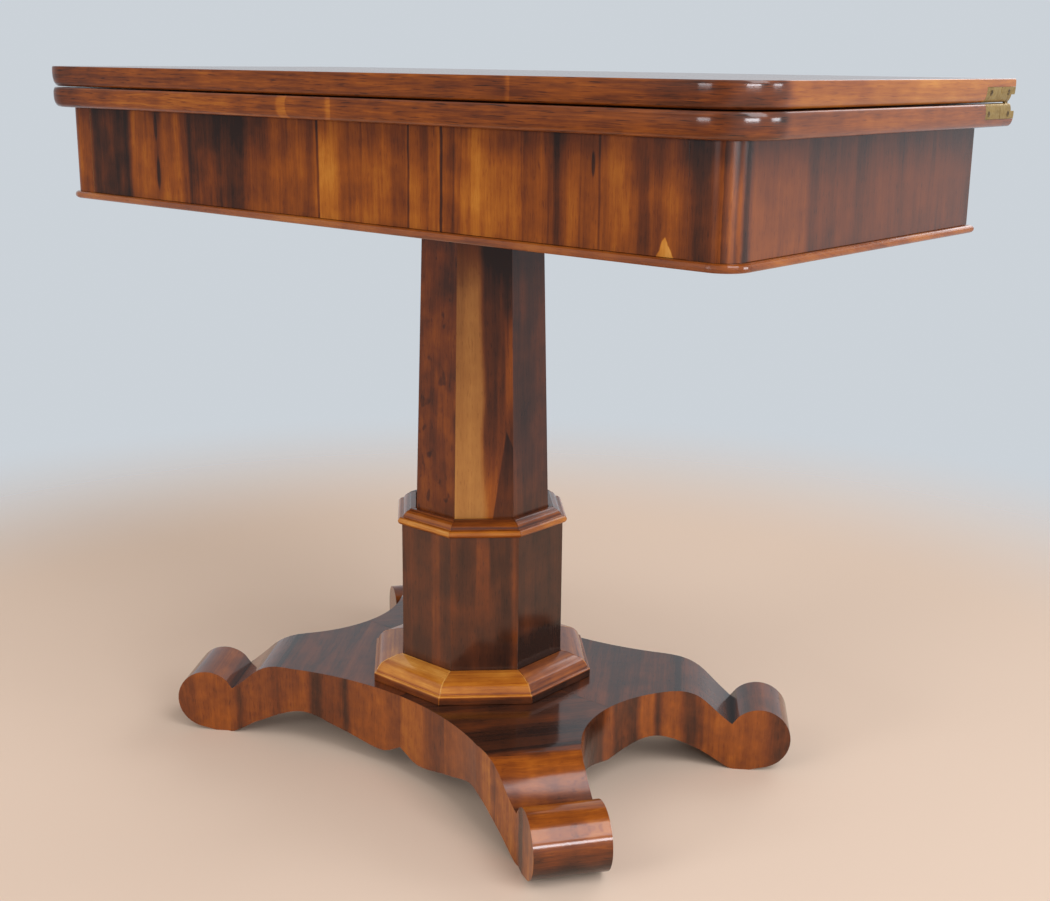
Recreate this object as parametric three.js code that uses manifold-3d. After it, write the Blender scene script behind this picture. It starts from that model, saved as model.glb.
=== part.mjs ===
// Fold-over card table on an octagonal pillar, with a quadriform platform and four scroll feet.
// Millimetres, Z up. X runs along the length, the front is towards -Y and the fold is at +Y.
// The origin is on the floor under the axis of the pillar.

import * as THREE from 'three';
import { mergeVertices } from 'three/addons/utils/BufferGeometryUtils.js';
import ManifoldModule from 'manifold-3d';

const wasm = await ManifoldModule();
wasm.setup();

// Overall sizes
const TABLE_HEIGHT = 740;
const LEAF_LENGTH = 941;
const LEAF_DEPTH = 452;
const END_OVERHANG = 27;
const SIDE_OVERHANG = 22.5;
const FRIEZE_HEIGHT = 100;
const PLATFORM_TOP = 91;
const PLINTH_TOP = 267;

// Leaves
const LEAF_THICKNESS = 21.2;
const LEAF_GAP = 1.2;
const LEAF_CORNER = 50;
const UPPER_TOP_EDGE = { inset: 1, height: 4 };
const UPPER_FOLD_EDGE = { inset: 5.5, height: 13 };
const LOWER_FOLD_EDGE = { inset: 2.5, height: 7 };
const LOWER_UNDER_EDGE = { inset: 5.5, height: 11 };
const SQUARE_EDGE = { inset: 0, height: 0 };
const SWIVEL_CLEARANCE = 0.4;
const LEAST_RISE = 0.05;

// Baize linings
const BAIZE_BORDER = 42;
const BAIZE_FOLD_BORDER = 12;
const BAIZE_CORNER = 12;
const BAIZE_DEPTH = 1.2;
const BAIZE_THICKNESS = 1;
const BAIZE_CLEARANCE = 0.3;

// Fold hinges, let into the ends of the leaves
const PIN_INSET = 3.5;
const PIN_RADIUS = 1.2;
const PIN_CLEARANCE = 0.05;
const PLATE_LENGTH = 61;
const PLATE_HEIGHT = 13.8;
const PLATE_DEPTH = 8;
const BOSS_LENGTH = 31;
const BOSS_DEPTH = 12;
const SCORE_WIDTH = 0.8;
const SCORE_DEPTH = 0.7;
const LINK_RADIUS = 3;
const LINK_THICKNESS = 2.2;
const LINK_CLEARANCE = 0.4;
const LINK_INSET = 6.6;

// Frieze carcase
const RAIL_THICKNESS = 20;
const FRIEZE_CORNER = 20;
const CORNER_POST = 42;
const BEAD_HEIGHT = 7.5;
const BEAD_STANDOUT = 5.5;
const BEAD_WIDTH = 17.5;
const BEARER_WIDTH = 180;
const BEARER_THICKNESS = 24;
const BEARER_RISE = 1;
const WELL_BOARD = 8;
const DIVIDER_THICKNESS = 12;
const DIVIDER_PLACE = -3;
const PIVOT_BOARD = 20;

// Swivel bolt and its stop
const BOLT_RADIUS = 5;
const BOLT_HEAD_RADIUS = 14;
const BOLT_HEAD_HEIGHT = 3.1;
const BOLT_END_SPARE = 4;
const WASHER_RADIUS = 13;
const WASHER_THICKNESS = 2.5;
const NUT_ACROSS_FLATS = 19;
const NUT_HEIGHT = 9;
const RUNNING_CLEARANCE = 0.4;
const STOP_RADIUS = 5;
const STOP_SWING = 60;
const STOP_START_DEG = 200;
const STOP_DEPTH = 10;
const SWIVEL_DEG = 90;

// Pillar
const COLUMN_TOP_WIDTH = 128;
const COLUMN_FOOT_WIDTH = 145.6;
const COLUMN_CHAMFER_SHARE = 0.61;
const REGULAR_CHAMFER_SHARE = 2 - Math.SQRT2;
const TENON_WIDTH = 56;
const TOP_TENON_WIDTH = 50;
const PLINTH_WIDTH = 174;
const COLLAR_HEIGHT = 16;
const BASE_WIDTH = 238;
const BASE_HEIGHT = 26;

// Sections of the two mouldings. Shares of the height, apart from the breaks, which are shares of the width.
const BASE_SHARES = {
  fillet: 0.38,
  arris: 0.03,
  arrisDrop: 0.04,
  quirk: 0.1,
  quirkRise: 0.06,
  breakOut: 0.5,
  breakUp: 0.87,
  ovoloBulge: 0.14,
  crownBulge: 0.05,
};
const COLLAR_SHARES = {
  standout: 0.25,
  beadFoot: 0.08,
  beadShoulder: 0.14,
  beadTop: 0.46,
  beadBulge: 0.3,
  quirk: 0.3,
  ogeeStart: 0.34,
  ogeeRise: 0.06,
  ogeeEnd: 0.36,
  ogeeTop: 0.9,
  ogeeBulge: 0.12,
  crown: 0.28,
};

// Platform outline, given for one quarter
const WIDE_SIDE_REACH = 129;
const WIDE_SIDE_RADIUS = 340;
const WIDE_SIDE_ARC_END = 140;
const NARROW_SIDE_REACH = 185;
const NARROW_SIDE_RADIUS = 135;
const NARROW_SIDE_ARC_END = 102;

// Scroll feet. Reach is measured from the axis of the pillar, along the leg.
// Insets are measured from the centre of the scroll, towards the pillar.
const LEG_ANGLE_DEG = 35;
const FOOT_WIDTH = 77;
const FOOT_ASIDE = -12;
const SCROLL_REACH = 313.5;
const SCROLL_RADIUS = 34;
const SCROLL_LIFT = 3.2;
const CREASE_INSET = 22.5;
const CREASE_RISE = 17.8;
const NECK_INSET = 23.5;
const SHOULDER_INSET = 97.5;
const REST_INSET = 27.5;
const REST_LENGTH = 18;
const ARCH_INSET = 115.5;
const ARCH_HEIGHT = 41;
const LOBE_REACH = 102;
const LOBE_HEIGHT = 19;
const CORE_UNDERSIDE = 40;
const REST_TURN_DEG = -72;

// Side view of the leg between its named points
const LEG_SHARES = {
  coreEnd: 0.62,
  lobeEntry: 0.78,
  lobeEntryHeight: 0.46,
  heelReach: 0.55,
  heelHeight: 0.53,
  toeReach: 0.03,
  toeHeight: 0.012,
  creasePull: 0.4,
  creaseLift: 0.1,
  shoulderPull: 0.42,
};

// Joints between glued or cut pieces
const SEAM = 0.2;
const OVERRUN = 5;

// Smoothness of curves
const ROUND_STEPS = 24;
const CORNER_STEPS = 9;
const EDGE_STEPS = 5;

// Derived heights
const UPPER_BOTTOM = TABLE_HEIGHT - LEAF_THICKNESS;
const LOWER_TOP = UPPER_BOTTOM - LEAF_GAP;
const LOWER_BOTTOM = LOWER_TOP - LEAF_THICKNESS;
const FRIEZE_TOP = LOWER_BOTTOM - SWIVEL_CLEARANCE;
const FRIEZE_BOTTOM = FRIEZE_TOP - FRIEZE_HEIGHT;
const RAIL_BOTTOM = FRIEZE_BOTTOM + BEAD_HEIGHT + SEAM;
const BEARER_BOTTOM = FRIEZE_BOTTOM + BEARER_RISE;
const BEARER_TOP = BEARER_BOTTOM + BEARER_THICKNESS;
const PIVOT_BOARD_BOTTOM = FRIEZE_TOP - PIVOT_BOARD;

// Derived places in plan
const LEAF_END = LEAF_LENGTH / 2;
const LEAF_REAR = LEAF_DEPTH / 2;
const FRIEZE_END = LEAF_END - END_OVERHANG;
const FRIEZE_SIDE = LEAF_REAR - SIDE_OVERHANG;
const INNER_END = FRIEZE_END - RAIL_THICKNESS;
const INNER_SIDE = FRIEZE_SIDE - RAIL_THICKNESS;
const SWIVEL_PLACE = LEAF_DEPTH / 4;
const PIN_Y = LEAF_REAR - PIN_INSET;
const LOWER_PIN_Z = LOWER_TOP - PIN_INSET;
const UPPER_PIN_Z = UPPER_BOTTOM + PIN_INSET;

// Derived places along the leg
const SCROLL_HEIGHT = SCROLL_RADIUS + SCROLL_LIFT;
const CREASE_REACH = SCROLL_REACH - CREASE_INSET;
const CREASE_HEIGHT = SCROLL_HEIGHT + CREASE_RISE;
const NECK_REACH = SCROLL_REACH - NECK_INSET;
const SHOULDER_REACH = SCROLL_REACH - SHOULDER_INSET;
const REST_START = SCROLL_REACH - REST_INSET;
const REST_END = REST_START + REST_LENGTH;
const ARCH_REACH = SCROLL_REACH - ARCH_INSET;

// Finishes
const ROSEWOOD = { color: 0x6e3517, roughness: 0.24, metalness: 0 };
const DARK_ROSEWOOD = { color: 0x4a2415, roughness: 0.24, metalness: 0 };
const WARM_ROSEWOOD = { color: 0x8a4718, roughness: 0.22, metalness: 0 };
const DEAL = { color: 0xb98d58, roughness: 0.7, metalness: 0 };
const BAIZE = { color: 0x2c4f35, roughness: 0.95, metalness: 0 };
const BRASS = { color: 0xa07a35, roughness: 0.35, metalness: 1 };
const IRON = { color: 0x4b4743, roughness: 0.5, metalness: 1 };

const table = new THREE.Group();
table.name = 'card_table';

// Turns the faces of a closed geometry outwards when a mirror has turned them in
function facingOut(geometry) {
  const position = geometry.attributes.position;
  const index = geometry.index.array;
  const a = new THREE.Vector3();
  const b = new THREE.Vector3();
  const c = new THREE.Vector3();
  let volume = 0;
  for (let i = 0; i < index.length; i += 3) {
    a.fromBufferAttribute(position, index[i]);
    b.fromBufferAttribute(position, index[i + 1]);
    c.fromBufferAttribute(position, index[i + 2]);
    volume += a.dot(b.cross(c));
  }
  if (volume < 0) {
    for (let i = 0; i < index.length; i += 3) {
      const kept = index[i + 1];
      index[i + 1] = index[i + 2];
      index[i + 2] = kept;
    }
  }
  return geometry;
}

function welded(geometry) {
  const copy = geometry.clone();
  copy.deleteAttribute('normal');
  copy.deleteAttribute('uv');
  return facingOut(mergeVertices(copy, 1e-4));
}

function toManifold(geometry) {
  const closed = welded(geometry);
  const mesh = new wasm.Mesh({
    numProp: 3,
    vertProperties: new Float32Array(closed.attributes.position.array),
    triVerts: new Uint32Array(closed.index.array),
  });
  return new wasm.Manifold(mesh);
}

function fromManifold(manifold) {
  const mesh = manifold.getMesh();
  const geometry = new THREE.BufferGeometry();
  const position = new THREE.BufferAttribute(new Float32Array(mesh.vertProperties), mesh.numProp);
  geometry.setAttribute('position', position);
  geometry.setIndex(new THREE.BufferAttribute(new Uint32Array(mesh.triVerts), 1));
  return geometry;
}

function cut(geometry, ...tools) {
  let body = toManifold(geometry);
  for (const tool of tools) {
    body = body.subtract(toManifold(tool));
  }
  return fromManifold(body);
}

function joined(first, ...others) {
  let body = toManifold(first);
  for (const other of others) {
    body = body.add(toManifold(other));
  }
  return fromManifold(body);
}

function common(first, second) {
  return fromManifold(toManifold(first).intersect(toManifold(second)));
}

// Box between two corners
function block(low, high) {
  const size = new THREE.Vector3(high[0] - low[0], high[1] - low[1], high[2] - low[2]);
  const geometry = new THREE.BoxGeometry(size.x, size.y, size.z);
  geometry.translate(low[0] + size.x / 2, low[1] + size.y / 2, low[2] + size.z / 2);
  return geometry;
}

// Upright prism of a plan shape between two heights
function upright(shape, bottom, top) {
  const options = { depth: top - bottom, bevelEnabled: false, curveSegments: ROUND_STEPS };
  const geometry = new THREE.ExtrudeGeometry(shape, options);
  geometry.translate(0, 0, bottom);
  return geometry;
}

function disc(x, y, radius, bottom, top) {
  const geometry = new THREE.CylinderGeometry(radius, radius, top - bottom, ROUND_STEPS);
  geometry.rotateX(Math.PI / 2);
  geometry.translate(x, y, (top + bottom) / 2);
  return geometry;
}

// Round bar along X
function crossBar(low, high, y, z, radius) {
  const geometry = new THREE.CylinderGeometry(radius, radius, high - low, ROUND_STEPS);
  geometry.rotateZ(Math.PI / 2);
  geometry.translate((low + high) / 2, y, z);
  return geometry;
}

// Closed skin over a row of rings with equal counts. The outline triangulates the two ends.
function loft(rings, outline) {
  const count = outline.length;
  const points = rings.flat();
  const faces = [];
  for (let ring = 0; ring < rings.length - 1; ring += 1) {
    for (let i = 0; i < count; i += 1) {
      const here = ring * count + i;
      const next = ring * count + ((i + 1) % count);
      faces.push(here, next, next + count);
      faces.push(here, next + count, here + count);
    }
  }
  const last = (rings.length - 1) * count;
  for (const [a, b, c] of THREE.ShapeUtils.triangulateShape(outline, [])) {
    faces.push(a, c, b);
    faces.push(last + a, last + b, last + c);
  }
  const geometry = new THREE.BufferGeometry();
  geometry.setFromPoints(points);
  geometry.setIndex(faces);
  return facingOut(geometry);
}

function mirroredInX(geometry) {
  const copy = welded(geometry);
  copy.scale(-1, 1, 1);
  return facingOut(copy);
}

function mirroredInY(geometry) {
  const copy = welded(geometry);
  copy.scale(1, -1, 1);
  return facingOut(copy);
}

function addPiece(name, geometry, finish) {
  const flat = geometry.index ? geometry.toNonIndexed() : geometry;
  flat.deleteAttribute('normal');
  flat.computeVertexNormals();
  const material = new THREE.MeshStandardMaterial(finish);
  material.name = `${name}_finish`;
  const mesh = new THREE.Mesh(flat, material);
  mesh.name = name;
  table.add(mesh);
  return mesh;
}

// LEAVES

// Drawing-in of a rounded edge at a distance from its face
function drawnIn(edge, distance) {
  if (edge.height === 0 || distance >= edge.height) {
    return 0;
  }
  const share = 1 - distance / edge.height;
  return edge.inset * (1 - Math.sqrt(Math.max(0, 1 - share * share)));
}

function edgeLevels(edge) {
  const levels = [];
  for (let i = 0; i <= EDGE_STEPS; i += 1) {
    levels.push(edge.height * (1 - Math.cos((i / EDGE_STEPS) * (Math.PI / 2))));
  }
  return levels;
}

// One ring of the leaf, round at the front corners and square at the fold
function leafRing(inset, foldInset, z) {
  const end = LEAF_END - inset;
  const rear = LEAF_REAR - foldInset;
  const centreX = LEAF_END - LEAF_CORNER;
  const centreY = LEAF_CORNER - LEAF_REAR;
  const radius = LEAF_CORNER - inset;
  const ring = [new THREE.Vector3(end, rear, z), new THREE.Vector3(-end, rear, z)];
  for (let i = 0; i <= CORNER_STEPS; i += 1) {
    const turn = Math.PI + (i / CORNER_STEPS) * (Math.PI / 2);
    const x = -centreX + radius * Math.cos(turn);
    ring.push(new THREE.Vector3(x, centreY + radius * Math.sin(turn), z));
  }
  for (let i = 0; i <= CORNER_STEPS; i += 1) {
    const turn = 1.5 * Math.PI + (i / CORNER_STEPS) * (Math.PI / 2);
    const x = centreX + radius * Math.cos(turn);
    ring.push(new THREE.Vector3(x, centreY + radius * Math.sin(turn), z));
  }
  return ring;
}

// The fold corner is rounded about the hinge pin, so the two leaves roll past each other
function leafBlank(bottom, underEdge, topEdge, foldBelow) {
  const foldEdge = { inset: PIN_INSET, height: PIN_INSET };
  const rearUnder = foldBelow ? foldEdge : SQUARE_EDGE;
  const rearTop = foldBelow ? SQUARE_EDGE : foldEdge;
  const fromBelow = [...edgeLevels(underEdge), ...edgeLevels(rearUnder)];
  const fromAbove = [...edgeLevels(topEdge), ...edgeLevels(rearTop)].map((d) => LEAF_THICKNESS - d);
  const all = [...fromBelow, ...fromAbove].sort((a, b) => a - b);
  const levels = all.filter((level, i) => i === 0 || level - all[i - 1] > LEAST_RISE);
  const rings = levels.map((level) => {
    const under = level;
    const over = LEAF_THICKNESS - level;
    const inset = drawnIn(underEdge, under) + drawnIn(topEdge, over);
    const rear = drawnIn(rearUnder, under) + drawnIn(rearTop, over);
    return leafRing(inset, rear, bottom + level);
  });
  const outline = rings[0].map((p) => new THREE.Vector2(p.x, p.y));
  return loft(rings, outline);
}

// Plan of the baize, with rounded corners away from the fold
function baizeShape(clearance) {
  const end = LEAF_END - BAIZE_BORDER - clearance;
  const front = BAIZE_BORDER + clearance - LEAF_REAR;
  const rear = LEAF_REAR - BAIZE_FOLD_BORDER - clearance;
  const shape = new THREE.Shape();
  shape.moveTo(end, rear);
  shape.lineTo(-end, rear);
  shape.lineTo(-end, front + BAIZE_CORNER);
  shape.absarc(BAIZE_CORNER - end, front + BAIZE_CORNER, BAIZE_CORNER, Math.PI, 1.5 * Math.PI, false);
  shape.absarc(end - BAIZE_CORNER, front + BAIZE_CORNER, BAIZE_CORNER, 1.5 * Math.PI, 2 * Math.PI, false);
  shape.closePath();
  return shape;
}

// Space that a hinge plate takes in the end of a leaf, towards or away from the face at z
function plateSpace(faceZ, side, clearance) {
  const far = faceZ + side * (PLATE_HEIGHT + clearance);
  const past = faceZ - side * OVERRUN;
  const low = Math.min(far, past);
  const high = Math.max(far, past);
  const plateX = LEAF_END - PLATE_DEPTH - clearance;
  const bossX = LEAF_END - BOSS_DEPTH - clearance;
  const plateY = LEAF_REAR - PLATE_LENGTH - clearance;
  const bossY = LEAF_REAR - BOSS_LENGTH - clearance;
  const out = LEAF_END + OVERRUN;
  const rear = LEAF_REAR + OVERRUN;
  const plate = block([plateX, plateY, low], [out, rear, high]);
  const boss = block([bossX, bossY, low], [out, rear, high]);
  return joined(plate, boss);
}

// Plate filed flush with the moulded end, with its score line, link recess and pin hole
function hingePlate(blank, faceZ, pinZ, side) {
  const recessX = LEAF_END - LINK_INSET - LINK_THICKNESS - LINK_CLEARANCE / 2;
  const reach = LINK_RADIUS + LINK_CLEARANCE;
  const inner = pinZ + side * reach;
  const past = faceZ - side * OVERRUN;
  const recess = block(
    [recessX, PIN_Y - reach, Math.min(inner, past)],
    [LEAF_END + OVERRUN, LEAF_REAR + OVERRUN, Math.max(inner, past)],
  );
  const scoreY = LEAF_REAR - BOSS_LENGTH;
  const score = block(
    [LEAF_END - SCORE_DEPTH, scoreY, faceZ - PLATE_HEIGHT - OVERRUN],
    [LEAF_END + OVERRUN, scoreY + SCORE_WIDTH, faceZ + PLATE_HEIGHT + OVERRUN],
  );
  const hole = crossBar(LEAF_END - BOSS_DEPTH - OVERRUN, LEAF_END, PIN_Y, pinZ, PIN_RADIUS + PIN_CLEARANCE);
  return cut(common(blank, plateSpace(faceZ, side, 0)), recess, score, hole);
}

const upperBlank = leafBlank(UPPER_BOTTOM, UPPER_FOLD_EDGE, UPPER_TOP_EDGE, true);
const lowerBlank = leafBlank(LOWER_BOTTOM, LOWER_UNDER_EDGE, LOWER_FOLD_EDGE, false);
const upperSpace = plateSpace(UPPER_BOTTOM, 1, SEAM);
const lowerSpace = plateSpace(LOWER_TOP, -1, SEAM);

const upperPocket = upright(baizeShape(0), UPPER_BOTTOM - OVERRUN, UPPER_BOTTOM + BAIZE_DEPTH);
const lowerPocket = upright(baizeShape(0), LOWER_TOP - BAIZE_DEPTH, LOWER_TOP + OVERRUN);
const pocketFloor = LOWER_TOP - BAIZE_DEPTH;
const headBottom = pocketFloor - BOLT_HEAD_HEIGHT - RUNNING_CLEARANCE;
const headSpace = disc(
  SWIVEL_PLACE,
  SWIVEL_PLACE,
  BOLT_HEAD_RADIUS + RUNNING_CLEARANCE,
  headBottom,
  LOWER_TOP,
);
const shankSpace = disc(
  SWIVEL_PLACE,
  SWIVEL_PLACE,
  BOLT_RADIUS + RUNNING_CLEARANCE / 2,
  LOWER_BOTTOM - OVERRUN,
  LOWER_TOP,
);
const stopTurn = THREE.MathUtils.degToRad(STOP_START_DEG);
const stopX = SWIVEL_PLACE + STOP_SWING * Math.cos(stopTurn);
const stopY = SWIVEL_PLACE + STOP_SWING * Math.sin(stopTurn);
const stopSpace = disc(stopX, stopY, STOP_RADIUS + SEAM, LOWER_BOTTOM - OVERRUN, LOWER_BOTTOM + STOP_DEPTH);

const upperLeaf = cut(upperBlank, upperSpace, mirroredInX(upperSpace), upperPocket);
const lowerLeaf = cut(
  lowerBlank,
  lowerSpace,
  mirroredInX(lowerSpace),
  lowerPocket,
  headSpace,
  shankSpace,
  stopSpace,
);
addPiece('upper_leaf', upperLeaf, ROSEWOOD);
addPiece('lower_leaf', lowerLeaf, ROSEWOOD);

const upperLiningBottom = UPPER_BOTTOM + BAIZE_DEPTH - BAIZE_THICKNESS - SEAM / 2;
const lowerLiningBottom = pocketFloor + SEAM / 2;
const liningShape = baizeShape(BAIZE_CLEARANCE);
const upperLining = upright(liningShape, upperLiningBottom, upperLiningBottom + BAIZE_THICKNESS);
const lowerLining = upright(liningShape, lowerLiningBottom, lowerLiningBottom + BAIZE_THICKNESS);
addPiece('upper_baize', upperLining, BAIZE);
addPiece('lower_baize', lowerLining, BAIZE);

// HINGES

const upperPlate = hingePlate(upperBlank, UPPER_BOTTOM, UPPER_PIN_Z, 1);
const lowerPlate = hingePlate(lowerBlank, LOWER_TOP, LOWER_PIN_Z, -1);
addPiece('upper_hinge_plate_right', upperPlate, BRASS);
addPiece('upper_hinge_plate_left', mirroredInX(upperPlate), BRASS);
addPiece('lower_hinge_plate_right', lowerPlate, BRASS);
addPiece('lower_hinge_plate_left', mirroredInX(lowerPlate), BRASS);

function linkShape() {
  const shape = new THREE.Shape();
  shape.absarc(0, UPPER_PIN_Z, LINK_RADIUS, 0, Math.PI, false);
  shape.absarc(0, LOWER_PIN_Z, LINK_RADIUS, Math.PI, 2 * Math.PI, false);
  shape.closePath();
  for (const z of [UPPER_PIN_Z, LOWER_PIN_Z]) {
    const hole = new THREE.Path();
    hole.absarc(0, z, PIN_RADIUS + PIN_CLEARANCE, 0, 2 * Math.PI, true);
    shape.holes.push(hole);
  }
  return shape;
}

// The shape is drawn in X and Z, stood up, and turned so that its thickness lies along X
const linkOuter = LEAF_END - LINK_INSET;
const link = new THREE.ExtrudeGeometry(linkShape(), {
  depth: LINK_THICKNESS,
  bevelEnabled: false,
  curveSegments: ROUND_STEPS / 2,
});
link.rotateX(Math.PI / 2);
link.rotateZ(Math.PI / 2);
link.translate(linkOuter - LINK_THICKNESS, PIN_Y, 0);
addPiece('hinge_link_right', link, BRASS);
addPiece('hinge_link_left', mirroredInX(link), BRASS);

const pinInner = LEAF_END - BOSS_DEPTH + SEAM;
for (const [level, z] of [['upper', UPPER_PIN_Z], ['lower', LOWER_PIN_Z]]) {
  const pin = crossBar(pinInner, linkOuter, PIN_Y, z, PIN_RADIUS);
  addPiece(`${level}_hinge_pin_right`, pin, BRASS);
  addPiece(`${level}_hinge_pin_left`, mirroredInX(pin), BRASS);
}

// SWIVEL

const shankBottom = PIVOT_BOARD_BOTTOM - WASHER_THICKNESS - NUT_HEIGHT - BOLT_END_SPARE;
const headTop = pocketFloor - RUNNING_CLEARANCE / 2;
const boltHead = disc(SWIVEL_PLACE, SWIVEL_PLACE, BOLT_HEAD_RADIUS, headTop - BOLT_HEAD_HEIGHT, headTop);
const boltShank = disc(SWIVEL_PLACE, SWIVEL_PLACE, BOLT_RADIUS, shankBottom, headTop - BOLT_HEAD_HEIGHT / 2);
addPiece('swivel_bolt', joined(boltHead, boltShank), IRON);

function ringShape(outerPoints, holeRadius) {
  const shape = new THREE.Shape(outerPoints);
  const hole = new THREE.Path();
  hole.absarc(0, 0, holeRadius, 0, 2 * Math.PI, true);
  shape.holes.push(hole);
  return shape;
}

function regularOutline(sides, radius, startTurn) {
  const points = [];
  for (let i = 0; i < sides; i += 1) {
    const turn = startTurn + (i / sides) * 2 * Math.PI;
    points.push(new THREE.Vector2(radius * Math.cos(turn), radius * Math.sin(turn)));
  }
  return points;
}

const boltHole = BOLT_RADIUS + PIN_CLEARANCE * 2;
const washerTop = PIVOT_BOARD_BOTTOM - SEAM;
const washerBottom = washerTop - WASHER_THICKNESS;
const washerOutline = regularOutline(ROUND_STEPS, WASHER_RADIUS, 0);
const washer = upright(ringShape(washerOutline, boltHole), washerBottom, washerTop);
washer.translate(SWIVEL_PLACE, SWIVEL_PLACE, 0);
addPiece('swivel_washer', washer, IRON);

const nutTop = washerBottom - SEAM / 2;
const nutOutline = regularOutline(6, NUT_ACROSS_FLATS / Math.sqrt(3), 0);
const nut = upright(ringShape(nutOutline, boltHole), nutTop - NUT_HEIGHT, nutTop);
nut.translate(SWIVEL_PLACE, SWIVEL_PLACE, 0);
addPiece('swivel_nut', nut, IRON);

const stopDrop = STOP_DEPTH - RUNNING_CLEARANCE * 2;
const stopPeg = disc(stopX, stopY, STOP_RADIUS, FRIEZE_TOP - stopDrop, LOWER_BOTTOM + STOP_DEPTH - SEAM);
addPiece('stop_peg', stopPeg, ROSEWOOD);

// FRIEZE

// Curved groove that the stop peg runs in, closed at both ends of the quarter turn
function stopGroove() {
  const spare = RUNNING_CLEARANCE / STOP_SWING;
  const start = stopTurn - spare;
  const end = stopTurn + THREE.MathUtils.degToRad(SWIVEL_DEG) + spare;
  const half = STOP_RADIUS + RUNNING_CLEARANCE;
  const shape = new THREE.Shape();
  shape.absarc(0, 0, STOP_SWING + half, start, end, false);
  shape.absarc(STOP_SWING * Math.cos(end), STOP_SWING * Math.sin(end), half, end, end + Math.PI, false);
  shape.absarc(0, 0, STOP_SWING - half, end, start, true);
  const tail = start + Math.PI;
  shape.absarc(STOP_SWING * Math.cos(start), STOP_SWING * Math.sin(start), half, tail, tail + Math.PI, false);
  const geometry = upright(shape, FRIEZE_TOP - STOP_DEPTH, FRIEZE_TOP + OVERRUN);
  geometry.translate(SWIVEL_PLACE, SWIVEL_PLACE, 0);
  return geometry;
}

const postX = FRIEZE_END - CORNER_POST;
const postY = CORNER_POST - FRIEZE_SIDE;
const cornerX = FRIEZE_END - FRIEZE_CORNER;
const cornerY = FRIEZE_CORNER - FRIEZE_SIDE;

const frontRail = block([-postX + SEAM, -FRIEZE_SIDE, RAIL_BOTTOM], [postX - SEAM, -INNER_SIDE, FRIEZE_TOP]);
addPiece('frieze_front', frontRail, ROSEWOOD);

const backRail = block(
  [SEAM - INNER_END, INNER_SIDE, RAIL_BOTTOM],
  [INNER_END - SEAM, FRIEZE_SIDE, FRIEZE_TOP],
);
addPiece('frieze_back', backRail, ROSEWOOD);

const endRail = block([INNER_END, cornerY + SEAM, RAIL_BOTTOM], [FRIEZE_END, FRIEZE_SIDE, FRIEZE_TOP]);
addPiece('frieze_end_right', endRail, ROSEWOOD);
addPiece('frieze_end_left', mirroredInX(endRail), ROSEWOOD);

// Rounded corner with the post behind it that the front rail and the end rail are glued to
function cornerShape() {
  const shape = new THREE.Shape();
  shape.moveTo(postX, -FRIEZE_SIDE);
  shape.lineTo(cornerX, -FRIEZE_SIDE);
  shape.absarc(cornerX, cornerY, FRIEZE_CORNER, 1.5 * Math.PI, 2 * Math.PI, false);
  shape.lineTo(INNER_END - SEAM, cornerY);
  shape.lineTo(INNER_END - SEAM, postY);
  shape.lineTo(postX, postY);
  shape.closePath();
  return shape;
}

const cornerBlock = upright(cornerShape(), RAIL_BOTTOM, FRIEZE_TOP);
addPiece('corner_block_right', cornerBlock, ROSEWOOD);
addPiece('corner_block_left', mirroredInX(cornerBlock), ROSEWOOD);

const mortise = TOP_TENON_WIDTH / 2 + SEAM;
const bearerBlank = block(
  [-BEARER_WIDTH / 2, SEAM - INNER_SIDE, BEARER_BOTTOM],
  [BEARER_WIDTH / 2, INNER_SIDE - SEAM, BEARER_TOP],
);
const bearerMortise = block(
  [-mortise, -mortise, BEARER_BOTTOM - OVERRUN],
  [mortise, mortise, BEARER_TOP + OVERRUN],
);
addPiece('column_bearer', cut(bearerBlank, bearerMortise), DEAL);

// Floor of the card well, cut round the left corner post
const wellBottom = BEARER_TOP + SEAM;
const wellBlank = block(
  [SEAM - INNER_END, SEAM - INNER_SIDE, wellBottom],
  [DIVIDER_PLACE - DIVIDER_THICKNESS / 2 - SEAM, INNER_SIDE - SEAM, wellBottom + WELL_BOARD],
);
const postNotch = block(
  [-FRIEZE_END, -FRIEZE_SIDE, FRIEZE_BOTTOM],
  [SEAM - postX, postY + SEAM, FRIEZE_TOP + OVERRUN],
);
addPiece('well_bottom', cut(wellBlank, postNotch), DEAL);

const divider = block(
  [DIVIDER_PLACE - DIVIDER_THICKNESS / 2, SEAM - INNER_SIDE, wellBottom],
  [DIVIDER_PLACE + DIVIDER_THICKNESS / 2, INNER_SIDE - SEAM, FRIEZE_TOP],
);
addPiece('well_divider', divider, ROSEWOOD);

const pivotBlank = block(
  [DIVIDER_PLACE + DIVIDER_THICKNESS / 2 + SEAM, SEAM - INNER_SIDE, PIVOT_BOARD_BOTTOM],
  [INNER_END - SEAM, INNER_SIDE - SEAM, FRIEZE_TOP],
);
const pivotHole = disc(
  SWIVEL_PLACE,
  SWIVEL_PLACE,
  BOLT_RADIUS + RUNNING_CLEARANCE,
  PIVOT_BOARD_BOTTOM - OVERRUN,
  FRIEZE_TOP + OVERRUN,
);
addPiece('pivot_board', cut(pivotBlank, mirroredInX(postNotch), pivotHole, stopGroove()), ROSEWOOD);

// BEAD UNDER THE FRIEZE

// Section of the bead: outward distance from the frieze face, and height
function beadSection() {
  const radius = BEAD_HEIGHT / 2;
  const steps = ROUND_STEPS / 3;
  const points = [new THREE.Vector2(BEAD_STANDOUT - BEAD_WIDTH, BEAD_HEIGHT)];
  points.push(new THREE.Vector2(BEAD_STANDOUT - BEAD_WIDTH, 0));
  for (let i = 0; i <= steps; i += 1) {
    const turn = (i / steps - 0.5) * Math.PI;
    const out = BEAD_STANDOUT - radius + radius * Math.cos(turn);
    points.push(new THREE.Vector2(out, radius + radius * Math.sin(turn)));
  }
  return points;
}

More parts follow.
